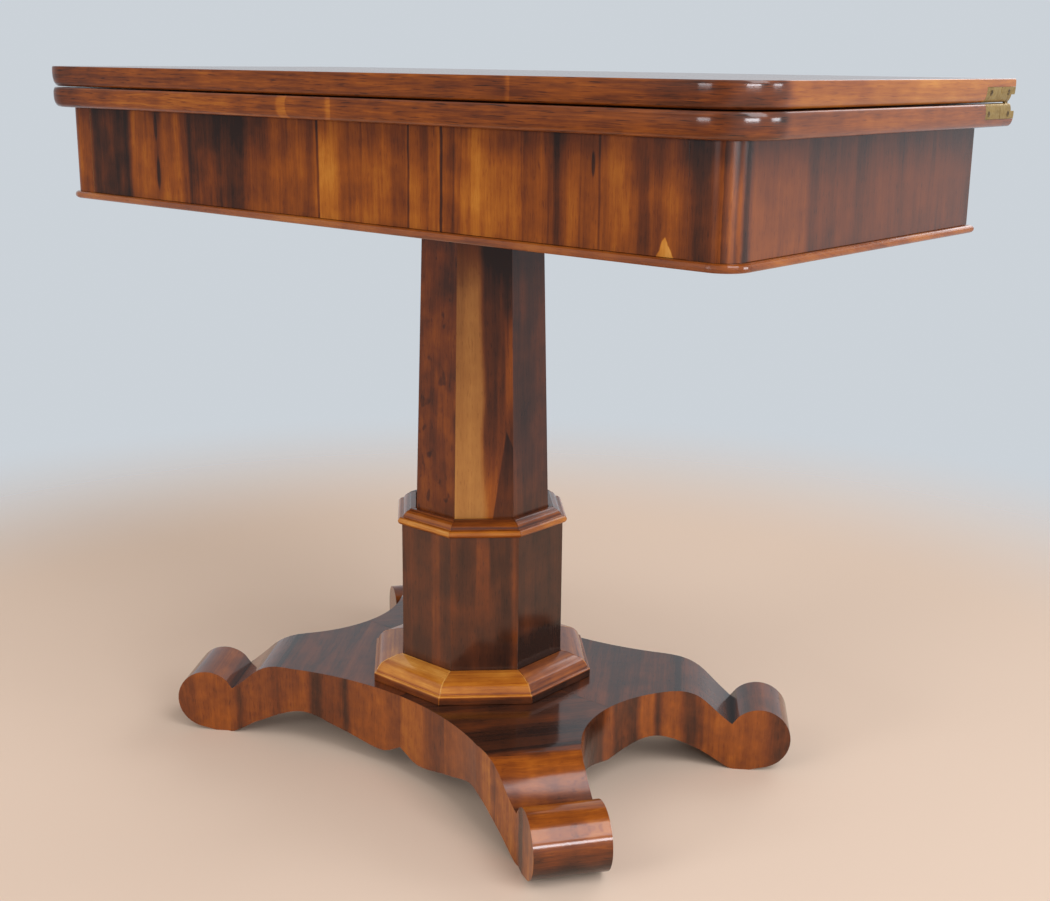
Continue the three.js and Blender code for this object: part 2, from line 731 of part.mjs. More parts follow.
// Moulding swept through frames, each giving the place and direction of the section
function moulding(section, frames) {
  const rings = frames.map((frame) => section.map((point) => {
    const x = frame.x + point.x * frame.outX;
    const y = frame.y + point.x * frame.outY;
    return new THREE.Vector3(x, y, frame.z + point.y);
  }));
  return loft(rings, section);
}

const bead = beadSection();
const beadZ = FRIEZE_BOTTOM;
addPiece('bead_front', moulding(bead, [
  { x: SEAM - cornerX, y: -FRIEZE_SIDE, z: beadZ, outX: 0, outY: -1 },
  { x: cornerX - SEAM, y: -FRIEZE_SIDE, z: beadZ, outX: 0, outY: -1 },
]), WARM_ROSEWOOD);

const cornerFrames = [];
for (let i = 0; i <= CORNER_STEPS; i += 1) {
  const turn = (i / CORNER_STEPS - 1) * (Math.PI / 2);
  const outX = Math.cos(turn);
  const outY = Math.sin(turn);
  cornerFrames.push({
    x: cornerX + FRIEZE_CORNER * outX,
    y: cornerY + FRIEZE_CORNER * outY,
    z: beadZ,
    outX,
    outY,
  });
}
const beadCorner = moulding(bead, cornerFrames);
addPiece('bead_corner_right', beadCorner, WARM_ROSEWOOD);
addPiece('bead_corner_left', mirroredInX(beadCorner), WARM_ROSEWOOD);

// The end and back beads meet in a mitre at the square rear corner
const beadEnd = moulding(bead, [
  { x: FRIEZE_END, y: cornerY + SEAM, z: beadZ, outX: 1, outY: 0 },
  { x: FRIEZE_END, y: FRIEZE_SIDE - SEAM, z: beadZ, outX: 1, outY: 1 },
]);
addPiece('bead_end_right', beadEnd, WARM_ROSEWOOD);
addPiece('bead_end_left', mirroredInX(beadEnd), WARM_ROSEWOOD);
addPiece('bead_back', moulding(bead, [
  { x: SEAM - FRIEZE_END, y: FRIEZE_SIDE, z: beadZ, outX: -1, outY: 1 },
  { x: FRIEZE_END - SEAM, y: FRIEZE_SIDE, z: beadZ, outX: 1, outY: 1 },
]), WARM_ROSEWOOD);

// PILLAR

const SIDE_TURN = Math.PI / 8;

// Square with its corners cut off, by a share of its half width
function octagonOutline(width, chamferShare) {
  const reach = width / 2;
  const flat = reach * (1 - chamferShare);
  const points = [];
  for (let quarter = 0; quarter < 4; quarter += 1) {
    const turn = (quarter * Math.PI) / 2;
    for (const [x, y] of [[reach, flat], [flat, reach]]) {
      points.push(new THREE.Vector2(x, y).rotateAround(new THREE.Vector2(), turn));
    }
  }
  return points;
}

function octagonRing(width, chamferShare, z) {
  return octagonOutline(width, chamferShare).map((p) => new THREE.Vector3(p.x, p.y, z));
}

const columnBottom = PLINTH_TOP + SEAM;
const columnTop = BEARER_BOTTOM - SEAM;
const columnBody = loft(
  [
    octagonRing(COLUMN_FOOT_WIDTH, COLUMN_CHAMFER_SHARE, columnBottom),
    octagonRing(COLUMN_TOP_WIDTH, COLUMN_CHAMFER_SHARE, columnTop),
  ],
  octagonOutline(COLUMN_FOOT_WIDTH, COLUMN_CHAMFER_SHARE),
);
const footTenon = block(
  [-TENON_WIDTH / 2, -TENON_WIDTH / 2, CORE_UNDERSIDE + OVERRUN],
  [TENON_WIDTH / 2, TENON_WIDTH / 2, columnBottom + OVERRUN],
);
const topTenon = block(
  [-TOP_TENON_WIDTH / 2, -TOP_TENON_WIDTH / 2, columnTop - OVERRUN],
  [TOP_TENON_WIDTH / 2, TOP_TENON_WIDTH / 2, BEARER_TOP - SEAM],
);
addPiece('column', joined(columnBody, footTenon, topTenon), DARK_ROSEWOOD);

const plinthBody = loft(
  [
    octagonRing(PLINTH_WIDTH, REGULAR_CHAMFER_SHARE, PLATFORM_TOP + SEAM),
    octagonRing(PLINTH_WIDTH, REGULAR_CHAMFER_SHARE, PLINTH_TOP),
  ],
  octagonOutline(PLINTH_WIDTH, REGULAR_CHAMFER_SHARE),
);
const tenonSpace = TENON_WIDTH / 2 + SEAM;
const plinthMortise = block([-tenonSpace, -tenonSpace, 0], [tenonSpace, tenonSpace, PLINTH_TOP + OVERRUN]);
addPiece('plinth', cut(plinthBody, plinthMortise), DARK_ROSEWOOD);

// Eight mitred lengths round an octagon, with one section on its flat sides and one on its diagonal sides.
// Section x is the distance from the axis.
function octagonMouldings(prefix, flatSection, diagonalSection, bottom, finish) {
  const spread = Math.tan(SIDE_TURN);
  const ends = [-1, 1];
  const lengths = [flatSection, diagonalSection].map((section) => {
    const rings = ends.map((end) => section.map((point) => {
      const along = end * (point.x * spread - SEAM / 2);
      return new THREE.Vector3(point.x, along, bottom + point.y);
    }));
    return loft(rings, section);
  });
  for (let i = 0; i < 8; i += 1) {
    const piece = lengths[i % 2].clone();
    piece.rotateZ((i * Math.PI) / 4);
    addPiece(`${prefix}_${i + 1}`, piece, finish);
  }
}

// Curve of a moulding between two points of its section, bulging by a share of its chord
function swell(from, to, bulge, steps) {
  const points = [];
  const dx = to.x - from.x;
  const dy = to.y - from.y;
  for (let i = 0; i <= steps; i += 1) {
    const share = i / steps;
    const lift = 4 * share * (1 - share) * bulge;
    points.push(new THREE.Vector2(from.x + dx * share + dy * lift, from.y + dy * share - dx * lift));
  }
  return points;
}

// Base moulding: a flat fillet, a fine quirk and an ovolo that rises to the plinth
const baseOut = BASE_WIDTH / 2;
const baseIn = PLINTH_WIDTH / 2 + SEAM;
const filletTop = BASE_HEIGHT * BASE_SHARES.fillet;
const quirkIn = baseOut - BASE_HEIGHT * BASE_SHARES.quirk;
const ovoloStart = new THREE.Vector2(quirkIn, filletTop + BASE_HEIGHT * BASE_SHARES.quirkRise);
const ovoloBreak = new THREE.Vector2(
  baseIn + (baseOut - baseIn) * BASE_SHARES.breakOut,
  BASE_HEIGHT * BASE_SHARES.breakUp,
);
const ovoloEnd = new THREE.Vector2(baseIn, BASE_HEIGHT);
const baseSection = [
  new THREE.Vector2(baseIn, 0),
  new THREE.Vector2(baseOut, 0),
  new THREE.Vector2(baseOut, filletTop - BASE_HEIGHT * BASE_SHARES.arrisDrop),
  new THREE.Vector2(baseOut - BASE_HEIGHT * BASE_SHARES.arris, filletTop),
  new THREE.Vector2(quirkIn, filletTop),
  ...swell(ovoloStart, ovoloBreak, BASE_SHARES.ovoloBulge, 4),
  ...swell(ovoloBreak, ovoloEnd, BASE_SHARES.crownBulge, 2).slice(1),
];
octagonMouldings('base_moulding', baseSection, baseSection, PLATFORM_TOP + SEAM, WARM_ROSEWOOD);

// Collar: a round bead below, then an ogee that falls back to the foot of the column
function collarSection(columnFace) {
  const shares = COLLAR_SHARES;
  const inner = columnFace + SEAM;
  const outer = PLINTH_WIDTH / 2 + COLLAR_HEIGHT * shares.standout;
  const beadTop = COLLAR_HEIGHT * shares.beadTop;
  const beadFoot = new THREE.Vector2(outer - COLLAR_HEIGHT * shares.beadFoot, 0);
  const beadShoulder = new THREE.Vector2(outer - COLLAR_HEIGHT * shares.beadShoulder, beadTop);
  const ogeeStart = new THREE.Vector2(
    outer - COLLAR_HEIGHT * shares.ogeeStart,
    beadTop + COLLAR_HEIGHT * shares.ogeeRise,
  );
  const ogeeEnd = new THREE.Vector2(
    inner + (outer - inner) * shares.ogeeEnd,
    COLLAR_HEIGHT * shares.ogeeTop,
  );
  return [
    new THREE.Vector2(inner, 0),
    ...swell(beadFoot, beadShoulder, shares.beadBulge, 5),
    new THREE.Vector2(outer - COLLAR_HEIGHT * shares.quirk, beadTop),
    ...swell(ogeeStart, ogeeEnd, shares.ogeeBulge, 4),
    new THREE.Vector2(inner + (outer - inner) * shares.crown, COLLAR_HEIGHT),
    new THREE.Vector2(inner, COLLAR_HEIGHT),
  ];
}

// The column's diagonal faces lie nearer to its axis than its flat faces do
const flatFace = COLUMN_FOOT_WIDTH / 2;
const diagonalFace = (flatFace * (2 - COLUMN_CHAMFER_SHARE)) / Math.SQRT2;
octagonMouldings(
  'collar_moulding',
  collarSection(flatFace),
  collarSection(diagonalFace),
  PLINTH_TOP + SEAM,
  WARM_ROSEWOOD,
);

// PLATFORM AND FEET

const legTurn = THREE.MathUtils.degToRad(LEG_ANGLE_DEG);

// Plan point from the reach along the leg and the distance to its left
function legPoint(reach, aside) {
  const x = reach * Math.cos(legTurn) - aside * Math.sin(legTurn);
  const y = reach * Math.sin(legTurn) + aside * Math.cos(legTurn);
  return new THREE.Vector2(x, y);
}

// One quarter of the platform in plan: two hollow sides that run into the two faces of the foot
function quarterShape() {
  const wideCentre = WIDE_SIDE_REACH + WIDE_SIDE_RADIUS;
  const narrowCentre = NARROW_SIDE_REACH + NARROW_SIDE_RADIUS;
  const wideTurn = Math.asin(WIDE_SIDE_ARC_END / WIDE_SIDE_RADIUS);
  const narrowTurn = Math.asin(NARROW_SIDE_ARC_END / NARROW_SIDE_RADIUS);
  const footEnd = SCROLL_REACH + SCROLL_RADIUS + OVERRUN;
  const outerFace = FOOT_ASIDE + FOOT_WIDTH / 2;
  const innerFace = FOOT_ASIDE - FOOT_WIDTH / 2;
  const neckOuter = legPoint(NECK_REACH, outerFace);
  const endOuter = legPoint(footEnd, outerFace);
  const endInner = legPoint(footEnd, innerFace);
  const neckInner = legPoint(NECK_REACH, innerFace);
  const shape = new THREE.Shape();
  shape.moveTo(SEAM / 2, SEAM / 2);
  shape.lineTo(NARROW_SIDE_REACH, SEAM / 2);
  shape.absarc(narrowCentre, 0, NARROW_SIDE_RADIUS, Math.PI, Math.PI - narrowTurn, true);
  shape.lineTo(neckInner.x, neckInner.y);
  shape.lineTo(endInner.x, endInner.y);
  shape.lineTo(endOuter.x, endOuter.y);
  shape.lineTo(neckOuter.x, neckOuter.y);
  shape.absarc(0, wideCentre, WIDE_SIDE_RADIUS, 1.5 * Math.PI + wideTurn, 1.5 * Math.PI, true);
  shape.lineTo(SEAM / 2, WIDE_SIDE_REACH);
  shape.closePath();
  return shape;
}

// Side view of the leg. X is the reach and Y the height.
function legProfile() {
  const shares = LEG_SHARES;
  const creaseTurn = Math.atan2(CREASE_HEIGHT - SCROLL_HEIGHT, CREASE_REACH - SCROLL_REACH);
  const restTurn = THREE.MathUtils.degToRad(REST_TURN_DEG);
  const slope = CREASE_REACH - SHOULDER_REACH;
  const heelReach = ARCH_REACH + (REST_START - ARCH_REACH) * shares.heelReach;
  const shape = new THREE.Shape();
  shape.moveTo(-TENON_WIDTH, CORE_UNDERSIDE);
  shape.lineTo(LOBE_REACH * shares.coreEnd, CORE_UNDERSIDE);
  shape.splineThru([
    new THREE.Vector2(LOBE_REACH * shares.lobeEntry, (CORE_UNDERSIDE + LOBE_HEIGHT) * shares.lobeEntryHeight),
    new THREE.Vector2(LOBE_REACH, LOBE_HEIGHT),
    new THREE.Vector2((LOBE_REACH + ARCH_REACH) / 2, (LOBE_HEIGHT + ARCH_HEIGHT) / 2),
    new THREE.Vector2(ARCH_REACH, ARCH_HEIGHT),
    new THREE.Vector2(heelReach, ARCH_HEIGHT * shares.heelHeight),
    new THREE.Vector2(REST_START * (1 - shares.toeReach), REST_START * shares.toeHeight),
    new THREE.Vector2(REST_START, 0),
  ]);
  shape.lineTo(REST_END, 0);
  shape.absarc(SCROLL_REACH, SCROLL_HEIGHT, SCROLL_RADIUS, restTurn, creaseTurn, false);
  shape.bezierCurveTo(
    CREASE_REACH - slope * shares.creasePull,
    CREASE_HEIGHT + (PLATFORM_TOP - CREASE_HEIGHT) * shares.creaseLift,
    CREASE_REACH - slope * shares.shoulderPull,
    PLATFORM_TOP,
    SHOULDER_REACH,
    PLATFORM_TOP,
  );
  shape.lineTo(-TENON_WIDTH, PLATFORM_TOP);
  shape.closePath();
  return shape;
}

// The side view is swept square across the leg, then cut to the plan of the quarter
const span = SCROLL_REACH + SCROLL_RADIUS;
const legSweep = new THREE.ExtrudeGeometry(legProfile(), {
  depth: span * 2,
  bevelEnabled: false,
  curveSegments: ROUND_STEPS / 2,
});
legSweep.translate(0, 0, -span);
legSweep.rotateX(Math.PI / 2);
legSweep.rotateZ(legTurn);

const legHole = block([-tenonSpace, -tenonSpace, -OVERRUN], [tenonSpace, tenonSpace, PLATFORM_TOP + OVERRUN]);
const legBlank = common(legSweep, upright(quarterShape(), -OVERRUN, PLATFORM_TOP + OVERRUN));
const legBackRight = cut(legBlank, legHole);
addPiece('leg_back_right', legBackRight, ROSEWOOD);
addPiece('leg_back_left', mirroredInX(legBackRight), ROSEWOOD);
addPiece('leg_front_right', mirroredInY(legBackRight), ROSEWOOD);
addPiece('leg_front_left', mirroredInX(mirroredInY(legBackRight)), ROSEWOOD);

export default table;
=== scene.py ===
import math

import bmesh
import bpy
from mathutils import Matrix, Vector
from mathutils.bvhtree import BVHTree


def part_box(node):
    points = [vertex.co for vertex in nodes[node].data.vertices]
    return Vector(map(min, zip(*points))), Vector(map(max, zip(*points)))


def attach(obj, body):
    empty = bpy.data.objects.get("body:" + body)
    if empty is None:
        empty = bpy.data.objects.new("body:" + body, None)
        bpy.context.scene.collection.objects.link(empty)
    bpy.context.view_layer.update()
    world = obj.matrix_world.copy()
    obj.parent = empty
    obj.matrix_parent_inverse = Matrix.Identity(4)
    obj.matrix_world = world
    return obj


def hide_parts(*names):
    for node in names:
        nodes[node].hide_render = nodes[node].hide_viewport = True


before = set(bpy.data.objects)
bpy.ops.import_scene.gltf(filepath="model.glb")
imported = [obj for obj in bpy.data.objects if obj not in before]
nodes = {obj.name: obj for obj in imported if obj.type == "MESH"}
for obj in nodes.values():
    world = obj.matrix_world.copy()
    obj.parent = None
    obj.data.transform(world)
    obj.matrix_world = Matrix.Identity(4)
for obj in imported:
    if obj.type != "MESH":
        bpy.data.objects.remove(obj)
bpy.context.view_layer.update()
scene = bpy.context.scene

SIDES = ("left", "right")


# Camera

CAMERA_PLACE = Vector((1.058108, -1.152629, 0.753742))
CAMERA_AZIMUTH = math.radians(40.8062)
CAMERA_PITCH = math.radians(14.85537)
CAMERA_ROLL = math.radians(0.61358)
CAMERA_NEAR = 0.05
FOCAL_PIXELS = 1479.059
PHOTO_WIDTH = 1050
SENSOR_WIDTH = 36


def make_camera():
    """Camera at the place that was solved from the outline of the table."""
    camera = bpy.data.objects.new("camera", bpy.data.cameras.new("camera"))
    scene.collection.objects.link(camera)
    camera.data.sensor_fit = "HORIZONTAL"
    camera.data.sensor_width = SENSOR_WIDTH
    camera.data.lens = FOCAL_PIXELS / PHOTO_WIDTH * SENSOR_WIDTH
    camera.data.clip_start = CAMERA_NEAR
    forward = Vector(
        (
            -math.sin(CAMERA_AZIMUTH) * math.cos(CAMERA_PITCH),
            math.cos(CAMERA_AZIMUTH) * math.cos(CAMERA_PITCH),
            -math.sin(CAMERA_PITCH),
        )
    )
    level = Vector((math.cos(CAMERA_AZIMUTH), math.sin(CAMERA_AZIMUTH), 0))
    upright = level.cross(forward)
    right = level * math.cos(CAMERA_ROLL) + upright * math.sin(CAMERA_ROLL)
    up = upright * math.cos(CAMERA_ROLL) - level * math.sin(CAMERA_ROLL)
    turn = Matrix((right, up, -forward)).transposed().to_4x4()
    camera.matrix_world = Matrix.Translation(CAMERA_PLACE) @ turn
    scene.camera = camera


make_camera()


# Node trees, written as sums of values

# Sockets of the Mix node that carry colours
MIX_FIRST_COLOUR = 6
MIX_SECOND_COLOUR = 7
MIX_COLOUR_RESULT = 2
# Strips in one colour ramp, which takes 32 stops
RAMP_STRIPS = 14
STRIP_BLUR = 0.0035
# Share of a narrow strip that its blurred edge may take
STRIP_BLUR_SHARE = 0.35


class Value:
    """Number that a node gives, with the arithmetic that the textures need."""

    def __init__(self, shader, socket):
        self.shader = shader
        self.socket = socket

    def __add__(self, other):
        return self.shader.math("ADD", self, other)

    def __radd__(self, other):
        return self.shader.math("ADD", other, self)

    def __sub__(self, other):
        return self.shader.math("SUBTRACT", self, other)

    def __rsub__(self, other):
        return self.shader.math("SUBTRACT", other, self)

    def __mul__(self, other):
        return self.shader.math("MULTIPLY", self, other)

    def __truediv__(self, other):
        return self.shader.math("DIVIDE", self, other)

    def above(self, other):
        return self.shader.math("GREATER_THAN", self, other)

    def size(self):
        return self.shader.math("ABSOLUTE", self)

    def sign(self):
        return self.shader.math("SIGN", self)

    def rounded(self):
        return self.shader.math("ROUND", self)

    def most(self, other):
        return self.shader.math("MAXIMUM", self, other)

    def ramp(self, low, high):
        """0 at low and 1 at high, smooth between them. low may be the larger one."""
        return self.shader.map_range(self, low, high)


class Shader:
    """Material or world under construction."""

    def __init__(self, owner):
        self.owner = owner
        owner.use_nodes = True
        self.tree = owner.node_tree
        self.tree.nodes.clear()
        self.kept = {}

    def put(self, socket, value):
        if isinstance(value, Value):
            self.tree.links.new(value.socket, socket)
        elif isinstance(value, bpy.types.NodeSocket):
            self.tree.links.new(value, socket)
        else:
            socket.default_value = value

    def add(self, kind, inputs=None, **settings):
        node = self.tree.nodes.new(kind)
        for name, value in settings.items():
            setattr(node, name, value)
        for name, value in (inputs or {}).items():
            self.put(node.inputs[name], value)
        return node

    def math(self, operation, first, second=0.0):
        node = self.add("ShaderNodeMath", operation=operation)
        self.put(node.inputs[0], first)
        self.put(node.inputs[1], second)
        return Value(self, node.outputs[0])

    def map_range(self, value, low, high, to_low=0.0, to_high=1.0):
        node = self.add("ShaderNodeMapRange", interpolation_type="SMOOTHSTEP")
        for name, number in (
            ("Value", value),
            ("From Min", low),
            ("From Max", high),
            ("To Min", to_low),
            ("To Max", to_high),
        ):
            self.put(node.inputs[name], number)
        return Value(self, node.outputs["Result"])

    def parts(self, socket):
        node = self.add("ShaderNodeSeparateXYZ", {"Vector": socket})
        return [Value(self, output) for output in node.outputs]

    def coordinates(self, name):
        """Parts of a texture coordinate in the object's own frame, made once."""
        if name not in self.kept:
            node = self.add("ShaderNodeTexCoord")
            self.kept[name] = self.parts(node.outputs[name])
        return self.kept[name]

    def place(self):
        return self.coordinates("Object")

    def facing(self):
        return self.coordinates("Normal")

    def vector(self, x, y, z):
        node = self.add("ShaderNodeCombineXYZ")
        for socket, value in zip(node.inputs, (x, y, z)):
            self.put(socket, value)
        return node.outputs[0]

    def noise(self, x, y, z, detail=2.0, roughness=0.5):
        node = self.add(
            "ShaderNodeTexNoise",
            {
                "Vector": self.vector(x, y, z),
                "Scale": 1.0,
                "Detail": detail,
                "Roughness": roughness,
            },
        )
        return Value(self, node.outputs["Fac"])

    def drift(self, x, y, z, detail=2.0):
        """Noise about zero."""
        return self.noise(x, y, z, detail) - 0.5

    def choose(self, factor, off, on):
        """off where factor is 0, on where it is 1, for numbers."""
        if isinstance(off, Value) or isinstance(on, Value):
            return off + (on - off) * factor
        return off + factor * (on - off)

    def mix_colour(self, factor, off, on):
        node = self.add("ShaderNodeMix", data_type="RGBA")
        self.put(node.inputs["Factor"], factor)
        self.put(node.inputs[MIX_FIRST_COLOUR], off)
        self.put(node.inputs[MIX_SECOND_COLOUR], on)
        return node.outputs[MIX_COLOUR_RESULT]

    def mix_shader(self, factor, off, on):
        node = self.add("ShaderNodeMixShader", {"Fac": factor})
        self.put(node.inputs[1], off.outputs[0])
        self.put(node.inputs[2], on.outputs[0])
        return node.outputs[0]

    def colour_ramp(self, factor, stops):
        node = self.add("ShaderNodeValToRGB", {"Fac": factor})
        elements = node.color_ramp.elements
        while len(elements) < len(stops):
            elements.new(1.0)
        for element, (position, colour) in zip(elements, stops):
            element.position = position
            element.color = (*colour, 1.0)
        return node.outputs["Color"]

    def tones(self, place, strips, blur=STRIP_BLUR):
        """Tone of each strip of veneer, by its place across the strips.

        strips is a list of (end of the strip, tone), in order. The first one only
        says where the second one starts.
        """
        result = None
        for first in range(1, len(strips), RAMP_STRIPS):
            part = strips[first : first + RAMP_STRIPS]
            low = strips[first - 1][0]
            span = part[-1][0] - low
            stops = []
            begin = low
            for end, tone in part:
                edge = min(blur, (end - begin) * STRIP_BLUR_SHARE)
                stops.append(((begin - low + edge) / span, (tone,) * 3))
                stops.append(((end - low - edge) / span, (tone,) * 3))
                begin = end
            colour = self.colour_ramp((place - low) / span, stops)
            tone = Value(self, self.add("ShaderNodeRGBToBW", {"Color": colour}).outputs[0])
            result = tone if result is None else self.choose(place.above(low), result, tone)
        return result

    def lines(self, place, marks):
        """Sum of thin dark lines, each a place, a half width and a depth."""
        total = None
        for centre, half, depth in marks:
            mark = (1.0 - (place - centre).size().ramp(half * 0.4, half * 1.6)) * depth
            total = mark if total is None else total + mark
        return total

    def bump(self, strength, distance, height):
        inputs = {"Strength": strength, "Distance": distance, "Height": height}
        return self.add("ShaderNodeBump", inputs).outputs[0]

    def surface(self, **inputs):
        """Ends the material with a Principled surface, and gives the material."""
        named = {name.replace("_", " "): value for name, value in inputs.items()}
        self.output(self.add("ShaderNodeBsdfPrincipled", named).outputs[0])
        return self.owner

    def output(self, shader):
        is_world = isinstance(self.owner, bpy.types.World)
        kind = "ShaderNodeOutputWorld" if is_world else "ShaderNodeOutputMaterial"
        self.add(kind, {"Surface": shader})


def new_shader(name):
    return Shader(bpy.data.materials.new(name))


# Wood. Places are in metres, so the numbers that multiply them inside a noise are
# cycles in a metre, and the plain numbers among a noise's coordinates are its seeds

ROSEWOOD_TONES = [
    (0.00, (0.018, 0.006, 0.003)),
    (0.16, (0.052, 0.014, 0.005)),
    (0.34, (0.130, 0.029, 0.006)),
    (0.52, (0.25, 0.060, 0.007)),
    (0.70, (0.39, 0.118, 0.012)),
    (0.86, (0.52, 0.195, 0.024)),
    (1.00, (0.66, 0.31, 0.065)),
]
WOOD_ROUGHNESS = 0.42
WOOD_SPECULAR = 0.04
# Weight of the polish, and its roughness
POLISH = 0.85
FULL_POLISH = 1.0
POLISH_ROUGHNESS = 0.11
LEAF_ROUGHNESS = 0.15
DULL_ROUGHNESS = 0.21
GRAIN_RELIEF = 0.12
GRAIN_DEPTH = 0.0002
# Dark pores of the grain, in cycles in a metre along it
DASH_RATE = 95
LEAF_DASH_RATE = 42
EIGHTH_TURN = math.pi / 4


def figure(
    shader,
    across,
    along,
    seed,
    tone,
    contrast=1.0,
    wave=0.012,
    dashes=0.10,
    dash_rate=DASH_RATE,
):
    """Tone of rosewood at a place, and the height of its surface."""
    place = across + shader.drift(across * 9, along * 6, seed, detail=3) * wave
    broad = shader.noise(place * 62, along * 3.4, seed + 3.1, detail=4, roughness=0.45)
    fine = shader.drift(place * 380, along * 9, seed + 7.7, detail=3)
    hair = shader.drift(place * 1400, along * 60, seed + 11.3)
    mottle = shader.drift(across * 48, along * 34, seed + 21.9, detail=3)
    cloud = shader.noise(across * 16, along * 9, seed + 27.4)
    vein = shader.drift(place * 30, along * 1.5, seed + 31.3)
    line = (1.0 - vein.size().ramp(0.0, 0.035)) * cloud.ramp(0.42, 0.60)
    dash = shader.noise(place * 850, along * dash_rate, seed + 15.1).ramp(0.58, 0.72)
    spread = (
        (broad - 0.5) * 0.55
        + fine * 0.24
        + hair * 0.20
        + mottle * 0.34
        + (cloud - 0.5) * 0.34
        - line * 0.12
    )
    shade = tone + spread * contrast - dash * dashes
    height = hair * 0.4 - dash * 0.6
    return shade, height


def polished(
    shader,
    colour,
    height,
    roughness=WOOD_ROUGHNESS,
    polish=POLISH,
    polish_roughness=POLISH_ROUGHNESS,
):
    """French polished wood."""
    return shader.surface(
        Base_Color=colour,
        Roughness=roughness,
        Specular_IOR_Level=WOOD_SPECULAR,
        Coat_Weight=polish,
        Coat_Roughness=polish_roughness,
        Normal=shader.bump(GRAIN_RELIEF, GRAIN_DEPTH, height),
    )


# Tones of the strips of veneer round the frieze: where each strip ends, and its tone
FRIEZE_STRIPS = [
    (-0.4435, 0.0),
    (-0.400, 0.44),
    (-0.368, 0.17),
    (-0.329, 0.12),
    (-0.290, 0.52),
    (-0.274, 0.42),
    (-0.238, 0.57),
    (-0.228, 0.40),
    (-0.214, 0.26),
    (-0.180, 0.36),
    (-0.132, 0.17),
    (-0.091, 0.40),
    (-0.028, 0.46),
    (0.007, 0.72),
    (0.036, 0.49),
    (0.072, 0.56),
    (0.096, 0.44),
    (0.137, 0.54),
    (0.156, 0.46),
    (0.196, 0.64),
    (0.230, 0.60),
    (0.263, 0.44),
    (0.277, 0.26),
    (0.313, 0.48),
    (0.350, 0.54),
    (0.378, 0.36),
    (0.404, 0.44),
    (0.425, 0.26),
    (0.434, 0.42),
    (0.440, 0.24),
    (0.4480, 0.50),
    (0.4505, 0.36),
    (0.4580, 0.52),
    (0.4650, 0.18),
    (0.552, 0.43),
    (0.590, 0.28),
    (0.625, 0.32),
    (0.652, 0.28),
    (0.690, 0.33),
    (0.722, 0.28),
    (0.780, 0.32),
    (0.850, 0.28),
]
FRIEZE_BLUR = 0.0055
# Dark lines of the frieze: place, half width and depth
FRIEZE_LINES = [
    (-0.2235, 0.0025, 0.13),
    (-0.0255, 0.0016, 0.34),
    (0.0965, 0.0012, 0.30),
    (0.1375, 0.0016, 0.42),
    (0.2700, 0.0030, 0.14),
    (0.3145, 0.0012, 0.18),
]
# Knots of the frieze, two in the left part and a small one near the right end:
# place, height, half width and depth
FRIEZE_KNOTS = [
    (-0.2810, 0.680, 0.0032, 0.22),
    (-0.2790, 0.632, 0.0038, 0.27),
    (0.3080, 0.672, 0.0022, 0.30),
]
KNOT_LENGTH = 5.0
# Pointed patch of sapwood at the foot of the frieze
SAPWOOD_PLACE = 0.381
SAPWOOD_TOP = 0.6205
SAPWOOD_STEEPNESS = 1.9
SAPWOOD_BLUR = (-0.0005, 0.0015)
FRIEZE_SIDE = 0.2035
# Way round the frieze where its ends start, and heights between which it darkens upward with
# painted shade under the leaves
LEFT_END = (-0.443, -0.446)
RIGHT_END = (0.440, 0.480)
FRIEZE_TOP_PAINTED_SHADE = (0.650, 0.697)
LEFT_END_TONE = 0.36
# How far outward a face looks, where the veneer starts and where it is full
VENEER_START = (0.02, 0.06)
# Part of the normal towards the front where the polish starts to thin, and where it is thin
FRIEZE_FACING = (0.80, 0.95)
FRIEZE_FRONT_POLISH = 0.22


def frieze_wood():
    """Upright strips of veneer round the frieze, with plain wood inside."""
    shader = new_shader("frieze_veneer")
    x, y, z = shader.place()
    nx, ny, _ = shader.facing()
    # Way round the frieze, from the middle of the front
    way = x + x.sign() * (y + FRIEZE_SIDE)
    strip_bend = shader.drift(way * 8, z * 7, 1.5, detail=3) * 0.010
    line_bend = shader.drift(way * 20, z * 22, 4.5) * 0.003
    tone = shader.tones(way + strip_bend, FRIEZE_STRIPS, FRIEZE_BLUR)
    tone = tone - shader.lines(way + line_bend, FRIEZE_LINES)
    for knot_way, knot_height, half, depth in FRIEZE_KNOTS:
        across = (way - knot_way) / half
        up = (z - knot_height) / (half * KNOT_LENGTH)
        tone = tone - (1.0 - (across * across + up * up).ramp(0.3, 1.2)) * depth
    peak = (
        SAPWOOD_TOP
        - (way - SAPWOOD_PLACE).size() * SAPWOOD_STEEPNESS
        + shader.drift(way * 160, z * 60, 2.2) * 0.010
    )
    tone = tone + (peak - z).ramp(*SAPWOOD_BLUR) * 0.40
    tone = shader.choose(way.ramp(*LEFT_END), tone, LEFT_END_TONE)
    # Painted shade: the frieze darkens towards its top, under the overhang of the leaves
    tone = tone - z.ramp(*FRIEZE_TOP_PAINTED_SHADE) * 0.13
    right_end = way.ramp(*RIGHT_END)
    blotch = shader.drift(way * 24, z * 30, 8.8, detail=3) * (1.0 - right_end * 0.7)
    shade, height = figure(shader, way, z, 2.0, tone + blotch * 0.34, 0.85 - right_end * 0.40)
    veneer = shader.colour_ramp(shade, ROSEWOOD_TONES)
    outside = (nx * x + ny * y).ramp(*VENEER_START)
    colour = shader.mix_colour(outside, plain_wood_colour(shader, x + y, z, 5.0), veneer)
    front = (ny * -1.0).ramp(*FRIEZE_FACING)
    polish = shader.choose(front, FULL_POLISH, FRIEZE_FRONT_POLISH)
    return polished(shader, colour, height, polish=polish, polish_roughness=DULL_ROUGHNESS)


DEAL_TONES = [
    (0.2, (0.26, 0.13, 0.05)),
    (0.5, (0.42, 0.24, 0.10)),
    (0.8, (0.56, 0.36, 0.17)),
]
# How much of the height goes into the place across the grain of a board
BOARD_SLANT = 0.8


